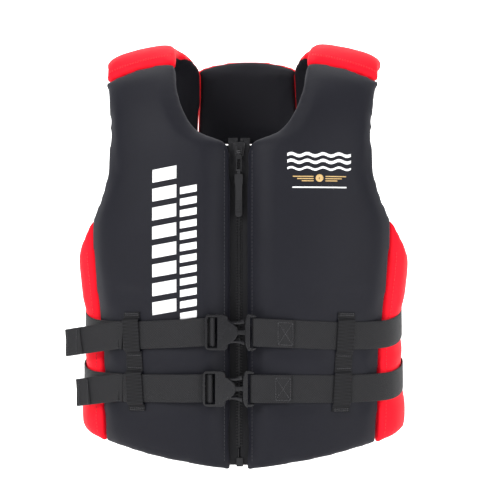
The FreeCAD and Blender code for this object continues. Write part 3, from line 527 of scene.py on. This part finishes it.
def shoulder_row(side, sign, lift):
    """Points across a shoulder, lift above its front seam."""
    row = []
    for share in spaced(0.06, 0.94, 150):
        x = sign * (0.092 + share * 0.106)
        z = 0.567 - share * 0.027 + 0.016 * share * (1 - share) + lift
        row.append(surface_at(faces["shoulder_pad_" + side], (x, -0.25, z), (0, 1, 0), ON_CLOTH))
    return row


for side, sign in (("right", -1), ("left", 1)):
    threads = bmesh.new()
    for back in (False, True):
        thread_rows(threads, side_row(side, sign, back))
    for lift in (0.009, 0.0105):
        thread_rows(threads, shoulder_row(side, sign, lift), length=0.0024, gap=0.0010, radius=0.0003)
    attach(finished("seam_threads_" + side, threads, RED_THREAD), "vest")

    threads = bmesh.new()
    front = faces["front_pad_" + side]
    thread_rows(threads, [surface_at(front, (sign * ZIP_ROW, -0.25, z), (0, 1, 0), ON_CLOTH)
                          for z in spaced(0.012, 0.437, 500)])
    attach(finished("zip_topstitch_" + side, threads, BLACK_THREAD), "vest")

# --- Front zip --------------------------------------------------------------------------------
# A chunky moulded zip: woven tapes sewn under the front edges, acetal teeth, an open-end box and
# pin, and an enamelled slider with a metal link and a moulded grip. A neoprene guard lies behind.


def weave_group():
    """Interlaced yarns, from a place given in metres: height of a plain woven ribbon, and a shade that is
    painted shade, darker in its hollows and lighter on its raised yarns, over random fuzz.
    """
    group = bpy.data.node_groups.new("Woven ribbon", "ShaderNodeTree")
    socket(group, "Place", "NodeSocketVector", "INPUT")
    socket(group, "Pitch along", "NodeSocketFloat", "INPUT", 0.0016)
    socket(group, "Pitch across", "NodeSocketFloat", "INPUT", 0.0024)
    socket(group, "Height", "NodeSocketFloat", "OUTPUT")
    socket(group, "Shade", "NodeSocketFloat", "OUTPUT")
    given, out = group.nodes.new("NodeGroupInput"), group.nodes.new("NodeGroupOutput")
    parts = group.nodes.new("ShaderNodeSeparateXYZ")
    group.links.new(given.outputs["Place"], parts.inputs["Vector"])
    waves = []
    for axis, pitch in (("X", "Pitch along"), ("Y", "Pitch across")):
        share = worked(group, "DIVIDE", parts.outputs[axis], given.outputs[pitch])
        waves.append(worked(group, "SINE", worked(group, "MULTIPLY", share, 2 * math.pi)))
    cells = worked(group, "MULTIPLY", *waves)
    fuzz = mottle(group, given.outputs["Place"], 900.0, 3.0)
    group.links.new(worked(group, "MULTIPLY_ADD", cells, 0.5, fuzz), out.inputs["Height"])
    # Shade: painted shade, darker in the weave's hollows and lighter on its raised yarns, from the same cells
    # as the height, plus random fuzz
    group.links.new(worked(group, "MULTIPLY_ADD", cells, 0.45, fuzz), out.inputs["Shade"])
    return group


WEAVE = weave_group()


def woven(name, dark, light, along_pitch, across_pitch, depth):
    """Ribbon or belt webbing; the mesh's UVs are metres along and across it. Its colour is painted shade of
    the weave, dark in the hollows and light on the raised yarns.
    """
    made, surface = shader(name, 0.60, sheen_weight=0.04, sheen_roughness=0.4, specular_ior_level=0.20)
    place = made.node_tree.nodes.new("ShaderNodeTexCoord")
    cloth = made.node_tree.nodes.new("ShaderNodeGroup")
    cloth.node_tree = WEAVE
    cloth.inputs["Pitch along"].default_value = along_pitch
    cloth.inputs["Pitch across"].default_value = across_pitch
    made.node_tree.links.new(place.outputs["UV"], cloth.inputs["Place"])
    # base colour from dark to light by the weave: painted shade of its hollows and raised yarns
    two_tone(made, surface, cloth.outputs["Shade"], dark, light)
    relief(made, surface, cloth.outputs["Height"], 0.6, depth)
    return made


# dark and light colours of tape and webbing: the spread between them is painted shade of the weave
TAPE_CLOTH = woven("Zip tape", (0.003, 0.003, 0.004), (0.010, 0.010, 0.012), 0.0012, 0.0010, 0.0002)
WEBBING = woven("Belt webbing", (0.002, 0.002, 0.003), (0.020, 0.020, 0.022), 0.0024, 0.0034, 0.0006)


def band(name, path, width, thick, across, material, waver=0.0, seed=0.0):
    """Flat webbing swept along a path, with rounded edges. across gives the direction of its width,
    one for all or one for each point; waver is how unevenly it lies. UVs are in metres."""
    upper = [(-0.5, 0.30), (-0.485, 0.80), (-0.45, 1.0), (-0.3, 1.0), (-0.1, 1.0), (0.1, 1.0), (0.3, 1.0),
             (0.45, 1.0), (0.485, 0.80), (0.5, 0.30)]
    loop = upper + [(v, -h) for v, h in reversed(upper)]
    made = bmesh.new()
    flat_map = made.loops.layers.uv.new("UVMap")
    rings, lengths, walked = [], [], 0.0
    for i, point in enumerate(path):
        if i:
            walked += (point - path[i - 1]).length
        lengths.append(walked)
        ahead, behind = path[min(i + 1, len(path) - 1)], path[max(i - 1, 0)]
        forward = (ahead - behind).normalized()
        wide = across[i] if isinstance(across, list) else across
        wide = (wide - forward * wide.dot(forward)).normalized()
        normal = forward.cross(wide)
        ring = []
        for v, h in loop:
            uneven = waver * noise.noise(Vector((walked * 28, v * 1.6, seed)))
            ring.append(made.verts.new(point + wide * (v * width) + normal * (h * thick / 2 + uneven)))
        rings.append(ring)
    count = len(loop)
    for i in range(len(rings) - 1):
        for k in range(count):
            j = (k + 1) % count
            face = made.faces.new((rings[i][k], rings[i][j], rings[i + 1][j], rings[i + 1][k]))
            for corner, (at, turn) in zip(face.loops, ((i, k), (i, j), (i + 1, j), (i + 1, k))):
                corner[flat_map].uv = (lengths[at], loop[turn][0] * width)
    made.faces.new(rings[0])
    made.faces.new(list(reversed(rings[-1])))
    return finished(name, made, material)


for side in ("right", "left"):
    low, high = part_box("zip_tape_" + side)
    middle_x, middle_y = (low[0] + high[0]) / 2, (low[1] + high[1]) / 2
    path = [Vector((middle_x, middle_y, z)) for z in spaced(low[2], high[2], 61)]
    tape = band("zip_tape_" + side + "_cloth", path, high[0] - low[0], high[1] - low[1], Vector((1, 0, 0)),
                TAPE_CLOTH)
    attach(tape, "vest")
    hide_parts("zip_tape_" + side)

low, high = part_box("zip_guard")
made = bmesh.new()
bmesh.ops.create_cube(made, size=1.0)
for v in made.verts:
    v.co = Vector([a + (b - a) * (c + 0.5) for a, b, c in zip(low, high, v.co)])
guard = finished("zip_guard_flap", made, BLACK, smooth=False)
only(guard)
bpy.ops.object.mode_set(mode="EDIT")
bpy.ops.mesh.select_all(action="SELECT")
bpy.ops.mesh.bevel(offset=0.0009, segments=3)
bpy.ops.object.mode_set(mode="OBJECT")
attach(guard, "vest")
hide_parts("zip_guard")


def moulded(name, dark, light, rough, coat, metallic=0.0):
    """Moulded or cast surface with faint flow marks and rubbed, duller patches."""
    made, surface = shader(name, rough, metallic=metallic, coat_weight=coat, coat_roughness=0.15,
                           specular_ior_level=0.24)
    tree = made.node_tree
    place = place_in(tree)
    rubbed = mottle(tree, place, 90.0, 6.0)
    dull = tree.nodes.new("ShaderNodeMapRange")
    dull.inputs["From Min"].default_value = 0.4
    dull.inputs["From Max"].default_value = 0.7
    dull.inputs["To Min"].default_value = rough
    dull.inputs["To Max"].default_value = rough + 0.11
    tree.links.new(rubbed, dull.inputs["Value"])
    tree.links.new(dull.outputs["Result"], surface.inputs["Roughness"])
    two_tone(made, surface, rubbed, dark, light)
    relief(made, surface, mottle(tree, place, 1500.0), 0.12, 0.0003)
    return made


TOOTH_PLASTIC = moulded("Zip plastic", (0.004, 0.004, 0.005), (0.010, 0.010, 0.012), 0.34, 0.1)
SLIDER_PAINT = moulded("Enamelled slider", (0.006, 0.006, 0.007), (0.016, 0.016, 0.018), 0.28, 0.3,
                       metallic=0.2)
GRIP_PLASTIC = moulded("Puller grip", (0.005, 0.005, 0.006), (0.012, 0.012, 0.014), 0.42, 0.1)


def round_node(name, material, size=0.00035):
    """Keeps a CAD node as it is, its edges softened, with its own material."""
    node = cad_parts[name]
    weld = node.modifiers.new("Weld", "WELD")
    weld.merge_threshold = 0.00002
    bevel = node.modifiers.new("Round", "BEVEL")
    bevel.width = size
    bevel.segments = 2
    bevel.limit_method = "ANGLE"
    bevel.angle_limit = math.radians(35)
    bevel.use_clamp_overlap = True
    node.data.materials.clear()
    node.data.materials.append(material)


for name in ("zip_teeth_right", "zip_teeth_left", "zip_top_stops", "zip_pin", "zip_box"):
    round_node(name, TOOTH_PLASTIC, 0.00025)
round_node("zip_slider", SLIDER_PAINT, 0.0004)
round_node("zip_tab", SLIDER_PAINT, 0.0003)
round_node("zip_puller", GRIP_PLASTIC, 0.0005)

# --- Belts ------------------------------------------------------------------------------------
# Two 38 mm webbing belts. Each is sewn round the buckle's end bar on the wearer's left, runs through
# the keepers and round the back, up through the ladder, and back outside itself to a loose end.
WEB_WIDTH, WEB = 0.038, 0.0018
LAYER_1, LAYER_2 = 0.0022, 0.0045
SIDE_END, OUTER_END, BACK_END = 0.1485, 0.1565, 0.150      # where the lengths meet, behind a keeper
SETTLE_REACH = 0.062    # how far from its buckle a belt comes to lie on the vest
BUCKLE_BACK = -(FRONT_DEPTH + 0.0015)
BUCKLE_START = {"upper": -0.0439, "lower": -0.0469}
LADDER_BAR = (0.0101, 0.0065, 0.0015)      # along the buckle, out from its back, radius
END_BAR = (0.0674, 0.0050, 0.0016)
BAR_GAP = 0.00035
FOLD = 0.052            # how much is turned back round the end bar and sewn down
TAIL_LENGTH = {"upper": 0.092, "lower": 0.072}
TAIL_X, TAIL_HEADING, TAIL_CURL, TAIL_DROOP = -0.1635, math.radians(153.0), math.radians(4.0), 0.15
HEM = 0.00105
UP = Vector((0, 0, 1))


def settle(belt, x_from, x_to, depth_from, layer):
    """A layer's middle line from the buckle, depth_from out from its back, to x_to on the vest."""
    sign = math.copysign(1, x_to)
    level, free = BELT_LEVELS[belt], BUCKLE_BACK - depth_from
    points = []
    for x in spaced(x_from, x_to, int(abs(x_to - x_from) / 0.004) + 1):
        lying = outside(turn_at(sign * max(0.0005, sign * x), level), level, layer + WEB / 2)
        share = eased(sign * (x - x_from) / SETTLE_REACH)
        points.append(Vector((x + (lying.x - x) * share, free + (lying.y - free) * share, level)))
    return points


def arc(cx, cy, radius, start, end, z, steps=10):
    """A bend round a bar, its angles in degrees."""
    angles = [math.radians(start + (end - start) * k / steps) for k in range(steps + 1)]
    return [Vector((cx + radius * math.cos(a), cy + radius * math.sin(a), z)) for a in angles]


def dropped(path, belt, x_from, side):
    """The path lowered steadily from the buckle to its keeper."""
    slope = BELT_SAG[belt] / (KEEPER_X - side * x_from)
    return [Vector((p.x, p.y, p.z - slope * side * (p.x - x_from))) for p in path]


def box_stitch(made, corner, wide, tall, way_wide, way_tall, normal):
    """A square of stitches with a cross inside."""
    corners = [corner, corner + way_wide * wide, corner + way_wide * wide + way_tall * tall,
               corner + way_tall * tall]
    for a, b in ((0, 1), (1, 2), (2, 3), (3, 0), (0, 2), (1, 3)):
        start, end = corners[a], corners[b]
        count = int((end - start).length / 0.0032)
        for k in range(count):
            near, far = start.lerp(end, (k + 0.12) / count), start.lerp(end, (k + 0.82) / count)
            stitch(made, near, far, normal, 0.00042)


def fold_strap(belt):
    """The short left length, from behind the keeper round the end bar and sewn back over itself."""
    level = BELT_LEVELS[belt]
    bar_x, bar_out, bar_radius = END_BAR
    cx, cy = BUCKLE_START[belt] + bar_x, BUCKLE_BACK - bar_out
    turn = bar_radius + WEB / 2 + BAR_GAP
    inner = settle(belt, cx, SIDE_END, bar_out - turn, LAYER_1)
    outer = []
    for k, p in enumerate(settle(belt, cx, cx + FOLD, bar_out + turn, LAYER_2)):
        near = min(inner, key=lambda q: abs(q.x - p.x))
        onto = near.y - WEB - 0.00045
        outer.append(Vector((p.x, p.y + (onto - p.y) * eased(k / 7), level)))
    path = list(reversed(inner[1:])) + arc(cx, cy, turn, 90, 270, level) + outer[1:]
    path = dropped(path, belt, cx, 1)
    strap = band(belt + "_belt_fold", path, WEB_WIDTH, WEB, UP, WEBBING, 0.0004, 3.0)
    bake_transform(strap)
    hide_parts(belt + "_strap_left")

    last, inward = path[-1], path[-5]
    way = (inward - last).normalized()
    normal = Vector((way.y, -way.x, 0)).normalized()
    if normal.y > 0:
        normal.negate()
    corner = last + way * 0.002 - UP * 0.0150 + normal * (WEB / 2 + 0.0004)
    threads = bmesh.new()
    box_stitch(threads, corner, 0.020, 0.030, way, UP, normal)
    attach(finished(belt + "_fold_stitches", threads, BLACK_THREAD), belt + "_male")


def ladder_strap(belt):
    """The right length, from behind the keeper up round the ladder bar and back outside itself. Gives
    back the point where it ends."""
    level, start = BELT_LEVELS[belt], BUCKLE_START[belt]
    bar_x, bar_out, bar_radius = LADDER_BAR
    cx, cy = start + bar_x, BUCKLE_BACK - bar_out
    turn = bar_radius + WEB / 2 + BAR_GAP
    deep, shallow, bend, last_bend = 0.0011, 0.0034, 0.0017, 0.0013
    path = list(reversed(settle(belt, start - 0.003, -SIDE_END, deep, LAYER_1)))
    path += [Vector((x, BUCKLE_BACK - deep, level))
             for x in (start + 0.002, start + 0.006, cx + turn - bend - 0.0015)]
    path += arc(cx + turn - bend, BUCKLE_BACK - deep - bend, bend, 90, 0, level, 5)
    path += arc(cx, cy, turn, 0, -180, level)
    path += arc(cx - turn - last_bend, BUCKLE_BACK - shallow - last_bend, last_bend, 0, 90, level, 5)
    path += [Vector((x, BUCKLE_BACK - shallow, level)) for x in (start + 0.0025, start + 0.0005)]
    path += settle(belt, start - 0.003, -OUTER_END, shallow, LAYER_2)
    path = dropped(path, belt, start, -1)
    strap = band(belt + "_belt_ladder", path, WEB_WIDTH, WEB, UP, WEBBING, 0.0002, 9.0)
    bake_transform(strap)
    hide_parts(belt + "_strap_right")
    return path[-1]


def back_strap(belt):
    """The long length round the sides and the back."""
    first = turn_at(BACK_END, BELT_LEVELS[belt])
    path = []
    for turn in spaced(first, 2 * math.pi - first, 241):
        z = belt_height(belt, min(turn, 2 * math.pi - turn))
        path.append(outside(turn, z, LAYER_1 + WEB / 2 + 0.0001))
    strap = band(belt + "_belt_back", path, WEB_WIDTH, WEB, UP, WEBBING, 0.0003, 15.0)
    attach(strap, "vest")
    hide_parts(belt + "_strap_back")


def on_tail(belt, hinge, s):
    """The loose end's middle line, s along it from where it leaves the keeper."""
    heading = TAIL_HEADING - TAIL_CURL * s / TAIL_LENGTH[belt]
    return Vector((hinge.x + s * math.cos(heading), hinge.y + s * math.sin(heading),
                   hinge.z - TAIL_DROOP * s))


def loose_tail(belt, strap_end):
    """The free end past the keeper, standing off the side, its tip turned over and sewn."""
    length, level = TAIL_LENGTH[belt], BELT_LEVELS[belt] - BELT_SAG[belt]
    hinge = outside(turn_at(TAIL_X, level), level, LAYER_2 + WEB / 2 + 0.0004)
    path = [strap_end + (hinge - strap_end) * (0.02 + 0.94 * k / 3) for k in range(4)]
    path += [on_tail(belt, hinge, length * k / 30 * 0.994) for k in range(31)]
    flat_out = Vector((-math.sin(TAIL_HEADING), math.cos(TAIL_HEADING), 0))
    if flat_out.dot(Vector((hinge.x, hinge.y, 0))) < 0:
        flat_out.negate()
    end, before = path[-1], path[-2]
    for k in range(1, 7):
        angle = math.pi * k / 6
        path.append(end + (end - before).normalized() * (HEM * math.sin(angle))
                    + flat_out * (HEM * (1 - math.cos(angle))))
    path += [path[33 - k] + flat_out * (2 * HEM) for k in range(1, 9)]
    strap = band(belt + "_loose_tail", path, WEB_WIDTH, WEB, UP, WEBBING, 0.0002, 21.0)
    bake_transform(strap)
    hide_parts(belt + "_tail")

    threads = bmesh.new()
    for back_from_end in (0.004, 0.020):
        foot = on_tail(belt, hinge, length - back_from_end) + flat_out * (2 * HEM + WEB / 2 + 0.0003)
        for k in range(10):
            low = foot + UP * (-0.0165 + 0.0033 * k)
            stitch(threads, low, low + UP * 0.0024, flat_out, 0.00042)
    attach(finished(belt + "_tail_stitches", threads, BLACK_THREAD), belt + "_loose_end")


for belt in BELT_LEVELS:
    fold_strap(belt)
    ladder_end = ladder_strap(belt)
    back_strap(belt)
    loose_tail(belt, ladder_end)

# --- Keepers ----------------------------------------------------------------------------------
# Four upright strips of ribbed 25 mm webbing, two in front and two behind. Each is bar-tacked to the
# vest above, between and below the belts, which run through the two loops it leaves.
KEEPER_WIDTH = 0.025
KEEPER_END = 0.012      # how far a strip goes on past the outer edge of a belt
SEWN = 0.0007           # how far it stands off the cloth where it is sewn down
RISE, SLACK = 0.0065, 0.0008
# dark and light of the ribbed webbing: painted shade between its ribs, lighter on them
RIBBED = woven("Ribbed keeper webbing", (0.0005, 0.0005, 0.0008), (0.008, 0.008, 0.010), 0.0046, 0.0500,
               0.0005)
for name, sign, back, over in (("front_keeper_right", -1, False, LAYER_2 + 0.0027),
                               ("front_keeper_left", 1, False, LAYER_2 + 0.0005),
                               ("back_keeper_right", -1, True, LAYER_2 + 0.0005),
                               ("back_keeper_left", 1, True, LAYER_2 + 0.0005)):
    x_mid = BACK_KEEPER_X if back else KEEPER_X
    belts = []
    for belt in ("lower", "upper"):
        middle = belt_height(belt, turn_at(x_mid, BELT_LEVELS[belt], back))
        belts.append((middle - WEB_WIDTH / 2, middle + WEB_WIDTH / 2))
    foot, top = belts[0][0] - KEEPER_END, belts[1][1] + KEEPER_END
    profile = [(foot, SEWN)]
    for low, high in belts:
        profile += [(low - RISE, SEWN), (low - SLACK, over), (high + SLACK, over), (high + RISE, SEWN)]
    profile.append((top, SEWN))

    pad = faces["back_pad"] if back else faces["front_pad_" + ("right" if sign < 0 else "left")]
    path, ways = [], []
    for z in spaced(foot, top, 111):
        lean = 0.0 if back else KEEPER_LEAN * ((z - foot) / (top - foot) - 0.5)
        turn = turn_at(sign * (x_mid + lean), z, back)
        out = outward(turn, z)
        met = surface_at(pad, outside(turn, z, 0.03), -out, 0.0)
        lying = (met[0] - around(turn, z)).dot(out) if met else 0.0
        distance = max(along(profile, z), lying + 0.0002)
        path.append(outside(turn, z, distance + WEB / 2))
        ways.append(out.cross(UP).normalized())
    threads = bmesh.new()
    tacks = [foot + 0.004, foot + 0.0015, belts[0][1] + 0.009, belts[1][0] - 0.009, top - 0.004,
             top - 0.0015]
    for tack in tacks:
        near = min(range(len(path)), key=lambda i: abs(path[i].z - tack))
        out = ways[near].cross(UP) * -1
        if out.dot(path[near]) < 0:
            out.negate()
        for k in range(7):
            a = path[near] + ways[near] * (-0.0105 + 0.003 * k) + out * (WEB / 2 + 0.0003)
            stitch(threads, a, a + ways[near] * 0.0024, out, 0.00045)
    strap = band(name + "_webbing", path, KEEPER_WIDTH, WEB, ways, RIBBED, 0.0002, 31.0)
    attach(strap, "vest")
    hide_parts(name)
    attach(finished(name + "_tacks", threads, BLACK_THREAD), "vest")

# --- Buckles ----------------------------------------------------------------------------------
# Black moulded acetal side-release buckles: a ladder and socket half on the right length of each
# belt, and a plug half with two sprung catches on the left. The mould rounds every edge.
BUCKLE_PLASTIC = moulded("Buckle plastic", (0.002, 0.002, 0.003), (0.005, 0.005, 0.007), 0.20, 0.15)
for belt in BELT_LEVELS:
    for part in ("buckle_female", "buckle_male", "latch_top", "latch_bottom"):
        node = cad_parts[belt + "_" + part]
        melt = node.modifiers.new("Mould", "REMESH")
        melt.mode = "VOXEL"
        melt.voxel_size = 0.0005
        melt.use_smooth_shade = True
        ease = node.modifiers.new("Ease", "SMOOTH")
        ease.factor = 0.5
        ease.iterations = 7
        node.data.materials.clear()
        node.data.materials.append(BUCKLE_PLASTIC)

# --- Prints -----------------------------------------------------------------------------------
# Thin transfer prints, pressed on to the fronts: two upright columns of slanted white bars, and on the
# wearer's left chest three white wavy lines, a small gold disc between stripes, and a thin rule.


def print_material(name, dark, light):
    """Matt ink, slightly crackled."""
    made, surface = shader(name, 0.5, coat_weight=0.1)
    crackle = mottle(made.node_tree, place_in(made.node_tree), 700.0, 5.0)
    two_tone(made, surface, crackle, dark, light)
    relief(made, surface, crackle, 0.25, 0.0003)
    return made


WHITE_INK = print_material("White transfer print", (0.80, 0.80, 0.82), (0.97, 0.97, 0.98))
GOLD_INK = print_material("Gold transfer print", (0.42, 0.26, 0.09), (0.62, 0.42, 0.17))


def laid(name, shapes, pad, material):
    """Films laid on a pad. Each shape is a grid of (x, z), in rows."""
    made = bmesh.new()
    for rows in shapes:
        sheets = []
        for lift in (0.00045, 0.00010):
            grid = []
            for row in rows:
                points = []
                for x, z in row:
                    met = surface_at(pad, (x, -0.3, z), (0, 1, 0), lift)
                    points.append(made.verts.new(met[0]))
                grid.append(points)
            sheets.append(grid)
        up, down = sheets
        high, wide = len(rows), len(rows[0])
        for j in range(high - 1):
            for i in range(wide - 1):
                made.faces.new((up[j][i], up[j][i + 1], up[j + 1][i + 1], up[j + 1][i]))
                made.faces.new((down[j + 1][i], down[j + 1][i + 1], down[j][i + 1], down[j][i]))
        border = ([(0, i) for i in range(wide)] + [(j, wide - 1) for j in range(1, high)]
                  + [(high - 1, i) for i in range(wide - 2, -1, -1)]
                  + [(j, 0) for j in range(high - 2, 0, -1)])
        for (a, b), (c, d) in zip(border, border[1:] + border[:1]):
            made.faces.new((up[a][b], down[a][b], down[c][d], up[c][d]))
    obj = finished(name, made, material)
    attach(obj, "vest")
    return obj


def bar_shape(x0, x1, z0, z1, slant=0.0, nx=9, nz=7):
    """A bar as rows of points, rising by slant from x0 to x1."""
    return [[(x0 + (x1 - x0) * i / (nx - 1), z0 + (z1 - z0) * j / (nz - 1) + slant * i / (nx - 1))
             for i in range(nx)] for j in range(nz)]


bars = []
for count, foot, pitch, tall, x0, x1, slant in ((8, 0.212, 0.0258, 0.0175, -0.117, -0.0835, 0.006),
                                                (12, 0.206, 0.0155, 0.0095, -0.0785, -0.0555, 0.004)):
    for k in range(count):
        z = foot + pitch * k
        bars.append(bar_shape(x0, x1, z, z + tall, slant))
laid("print_bars", bars, faces["front_pad_right"], WHITE_INK)

waves = []
for level, thick in ((0.4280, 0.0042), (0.4190, 0.0042), (0.4100, 0.0030)):
    waves.append([[(0.067 + 0.086 * i / 60, level + thick * j / 2 + 0.0016 * math.sin(2 * math.pi * i / 15))
                   for i in range(61)] for j in range(3)])
waves.append(bar_shape(0.074, 0.147, 0.3850, 0.3868, nx=31, nz=2))
laid("print_waves", waves, faces["front_pad_left"], WHITE_INK)

DISC_X, DISC_Z = 0.1105, 0.3985
disc = [[(DISC_X + r * math.cos(2 * math.pi * k / 32), DISC_Z + r * math.sin(2 * math.pi * k / 32))
         for k in range(33)] for r in (0.0008, 0.0030, 0.0052)]
stripes = [bar_shape(DISC_X + sign * 0.008, DISC_X + sign * (0.036 - 0.006 * k), 0.4000 - 0.0030 * k,
                     0.4014 - 0.0030 * k, nx=15, nz=2) for sign in (-1, 1) for k in range(3)]
laid("print_disc", [disc] + stripes, faces["front_pad_left"], GOLD_INK)

# --- Studio -----------------------------------------------------------------------------------
# A white floor and a lit white backdrop, a large lamp at the upper left, broad ones at the right and
# overhead, and a long lens a little to the right of the middle.
bpy.ops.mesh.primitive_plane_add(size=30, location=(0, 0, -0.09))
floor = bpy.context.object
floor.name = "studio_floor"
paper, surface = shader("White paper", 0.9)
surface.inputs["Base Color"].default_value = (0.95, 0.95, 0.95, 1)
surface.inputs["Emission Color"].default_value = (1, 1, 1, 1)
surface.inputs["Emission Strength"].default_value = 0.62
floor.data.materials.append(paper)
bpy.ops.mesh.primitive_plane_add(size=14, location=(0, 5, 4), rotation=(math.radians(90), 0, 0))
backdrop = bpy.context.object
backdrop.name = "studio_backdrop"
lit, surface = shader("Lit backdrop", 0.9)
surface.inputs["Base Color"].default_value = (0.9, 0.9, 0.9, 1)
surface.inputs["Emission Color"].default_value = (1, 1, 1, 1)
surface.inputs["Emission Strength"].default_value = 1.0
backdrop.data.materials.append(lit)

world = bpy.data.worlds.new("Studio")
bpy.context.scene.world = world
world.use_nodes = True
world.node_tree.nodes["Background"].inputs["Color"].default_value = (1, 1, 1, 1)
world.node_tree.nodes["Background"].inputs["Strength"].default_value = 0.42


def soft_light(name, place, target, size, power):
    """A rectangular lamp turned to a target."""
    lamp = bpy.data.lights.new(name, "AREA")
    lamp.shape = "RECTANGLE"
    lamp.size, lamp.size_y = size
    lamp.energy = power
    obj = bpy.data.objects.new(name, lamp)
    bpy.context.scene.collection.objects.link(obj)
    obj.location = place
    obj.rotation_euler = (Vector(target) - Vector(place)).to_track_quat("-Z", "Y").to_euler()
    return obj


soft_light("Key", (-1.6, -2.2, 1.7), (0, 0, 0.3), (1.2, 1.6), 62)
soft_light("Fill", (2.0, -2.0, 0.9), (0, 0, 0.3), (1.0, 1.8), 34)
soft_light("Top", (0, 0.2, 2.4), (0, 0, 0.3), (2.0, 1.4), 26)

CAMERA_TURN = math.radians(3.0)
CAMERA_AWAY = 2.24
target = Vector((0.009, 0, 0.301))
camera = bpy.data.objects.new("Camera", bpy.data.cameras.new("Camera"))
bpy.context.scene.collection.objects.link(camera)
camera.data.sensor_width = 36
camera.data.lens = 36 * CAMERA_AWAY / 0.7235
camera.location = target + CAMERA_AWAY * Vector((math.sin(CAMERA_TURN), -math.cos(CAMERA_TURN), 0))
camera.rotation_euler = (target - camera.location).to_track_quat("-Z", "Y").to_euler()
bpy.context.scene.camera = camera
bpy.context.scene.view_settings.view_transform = "Standard"
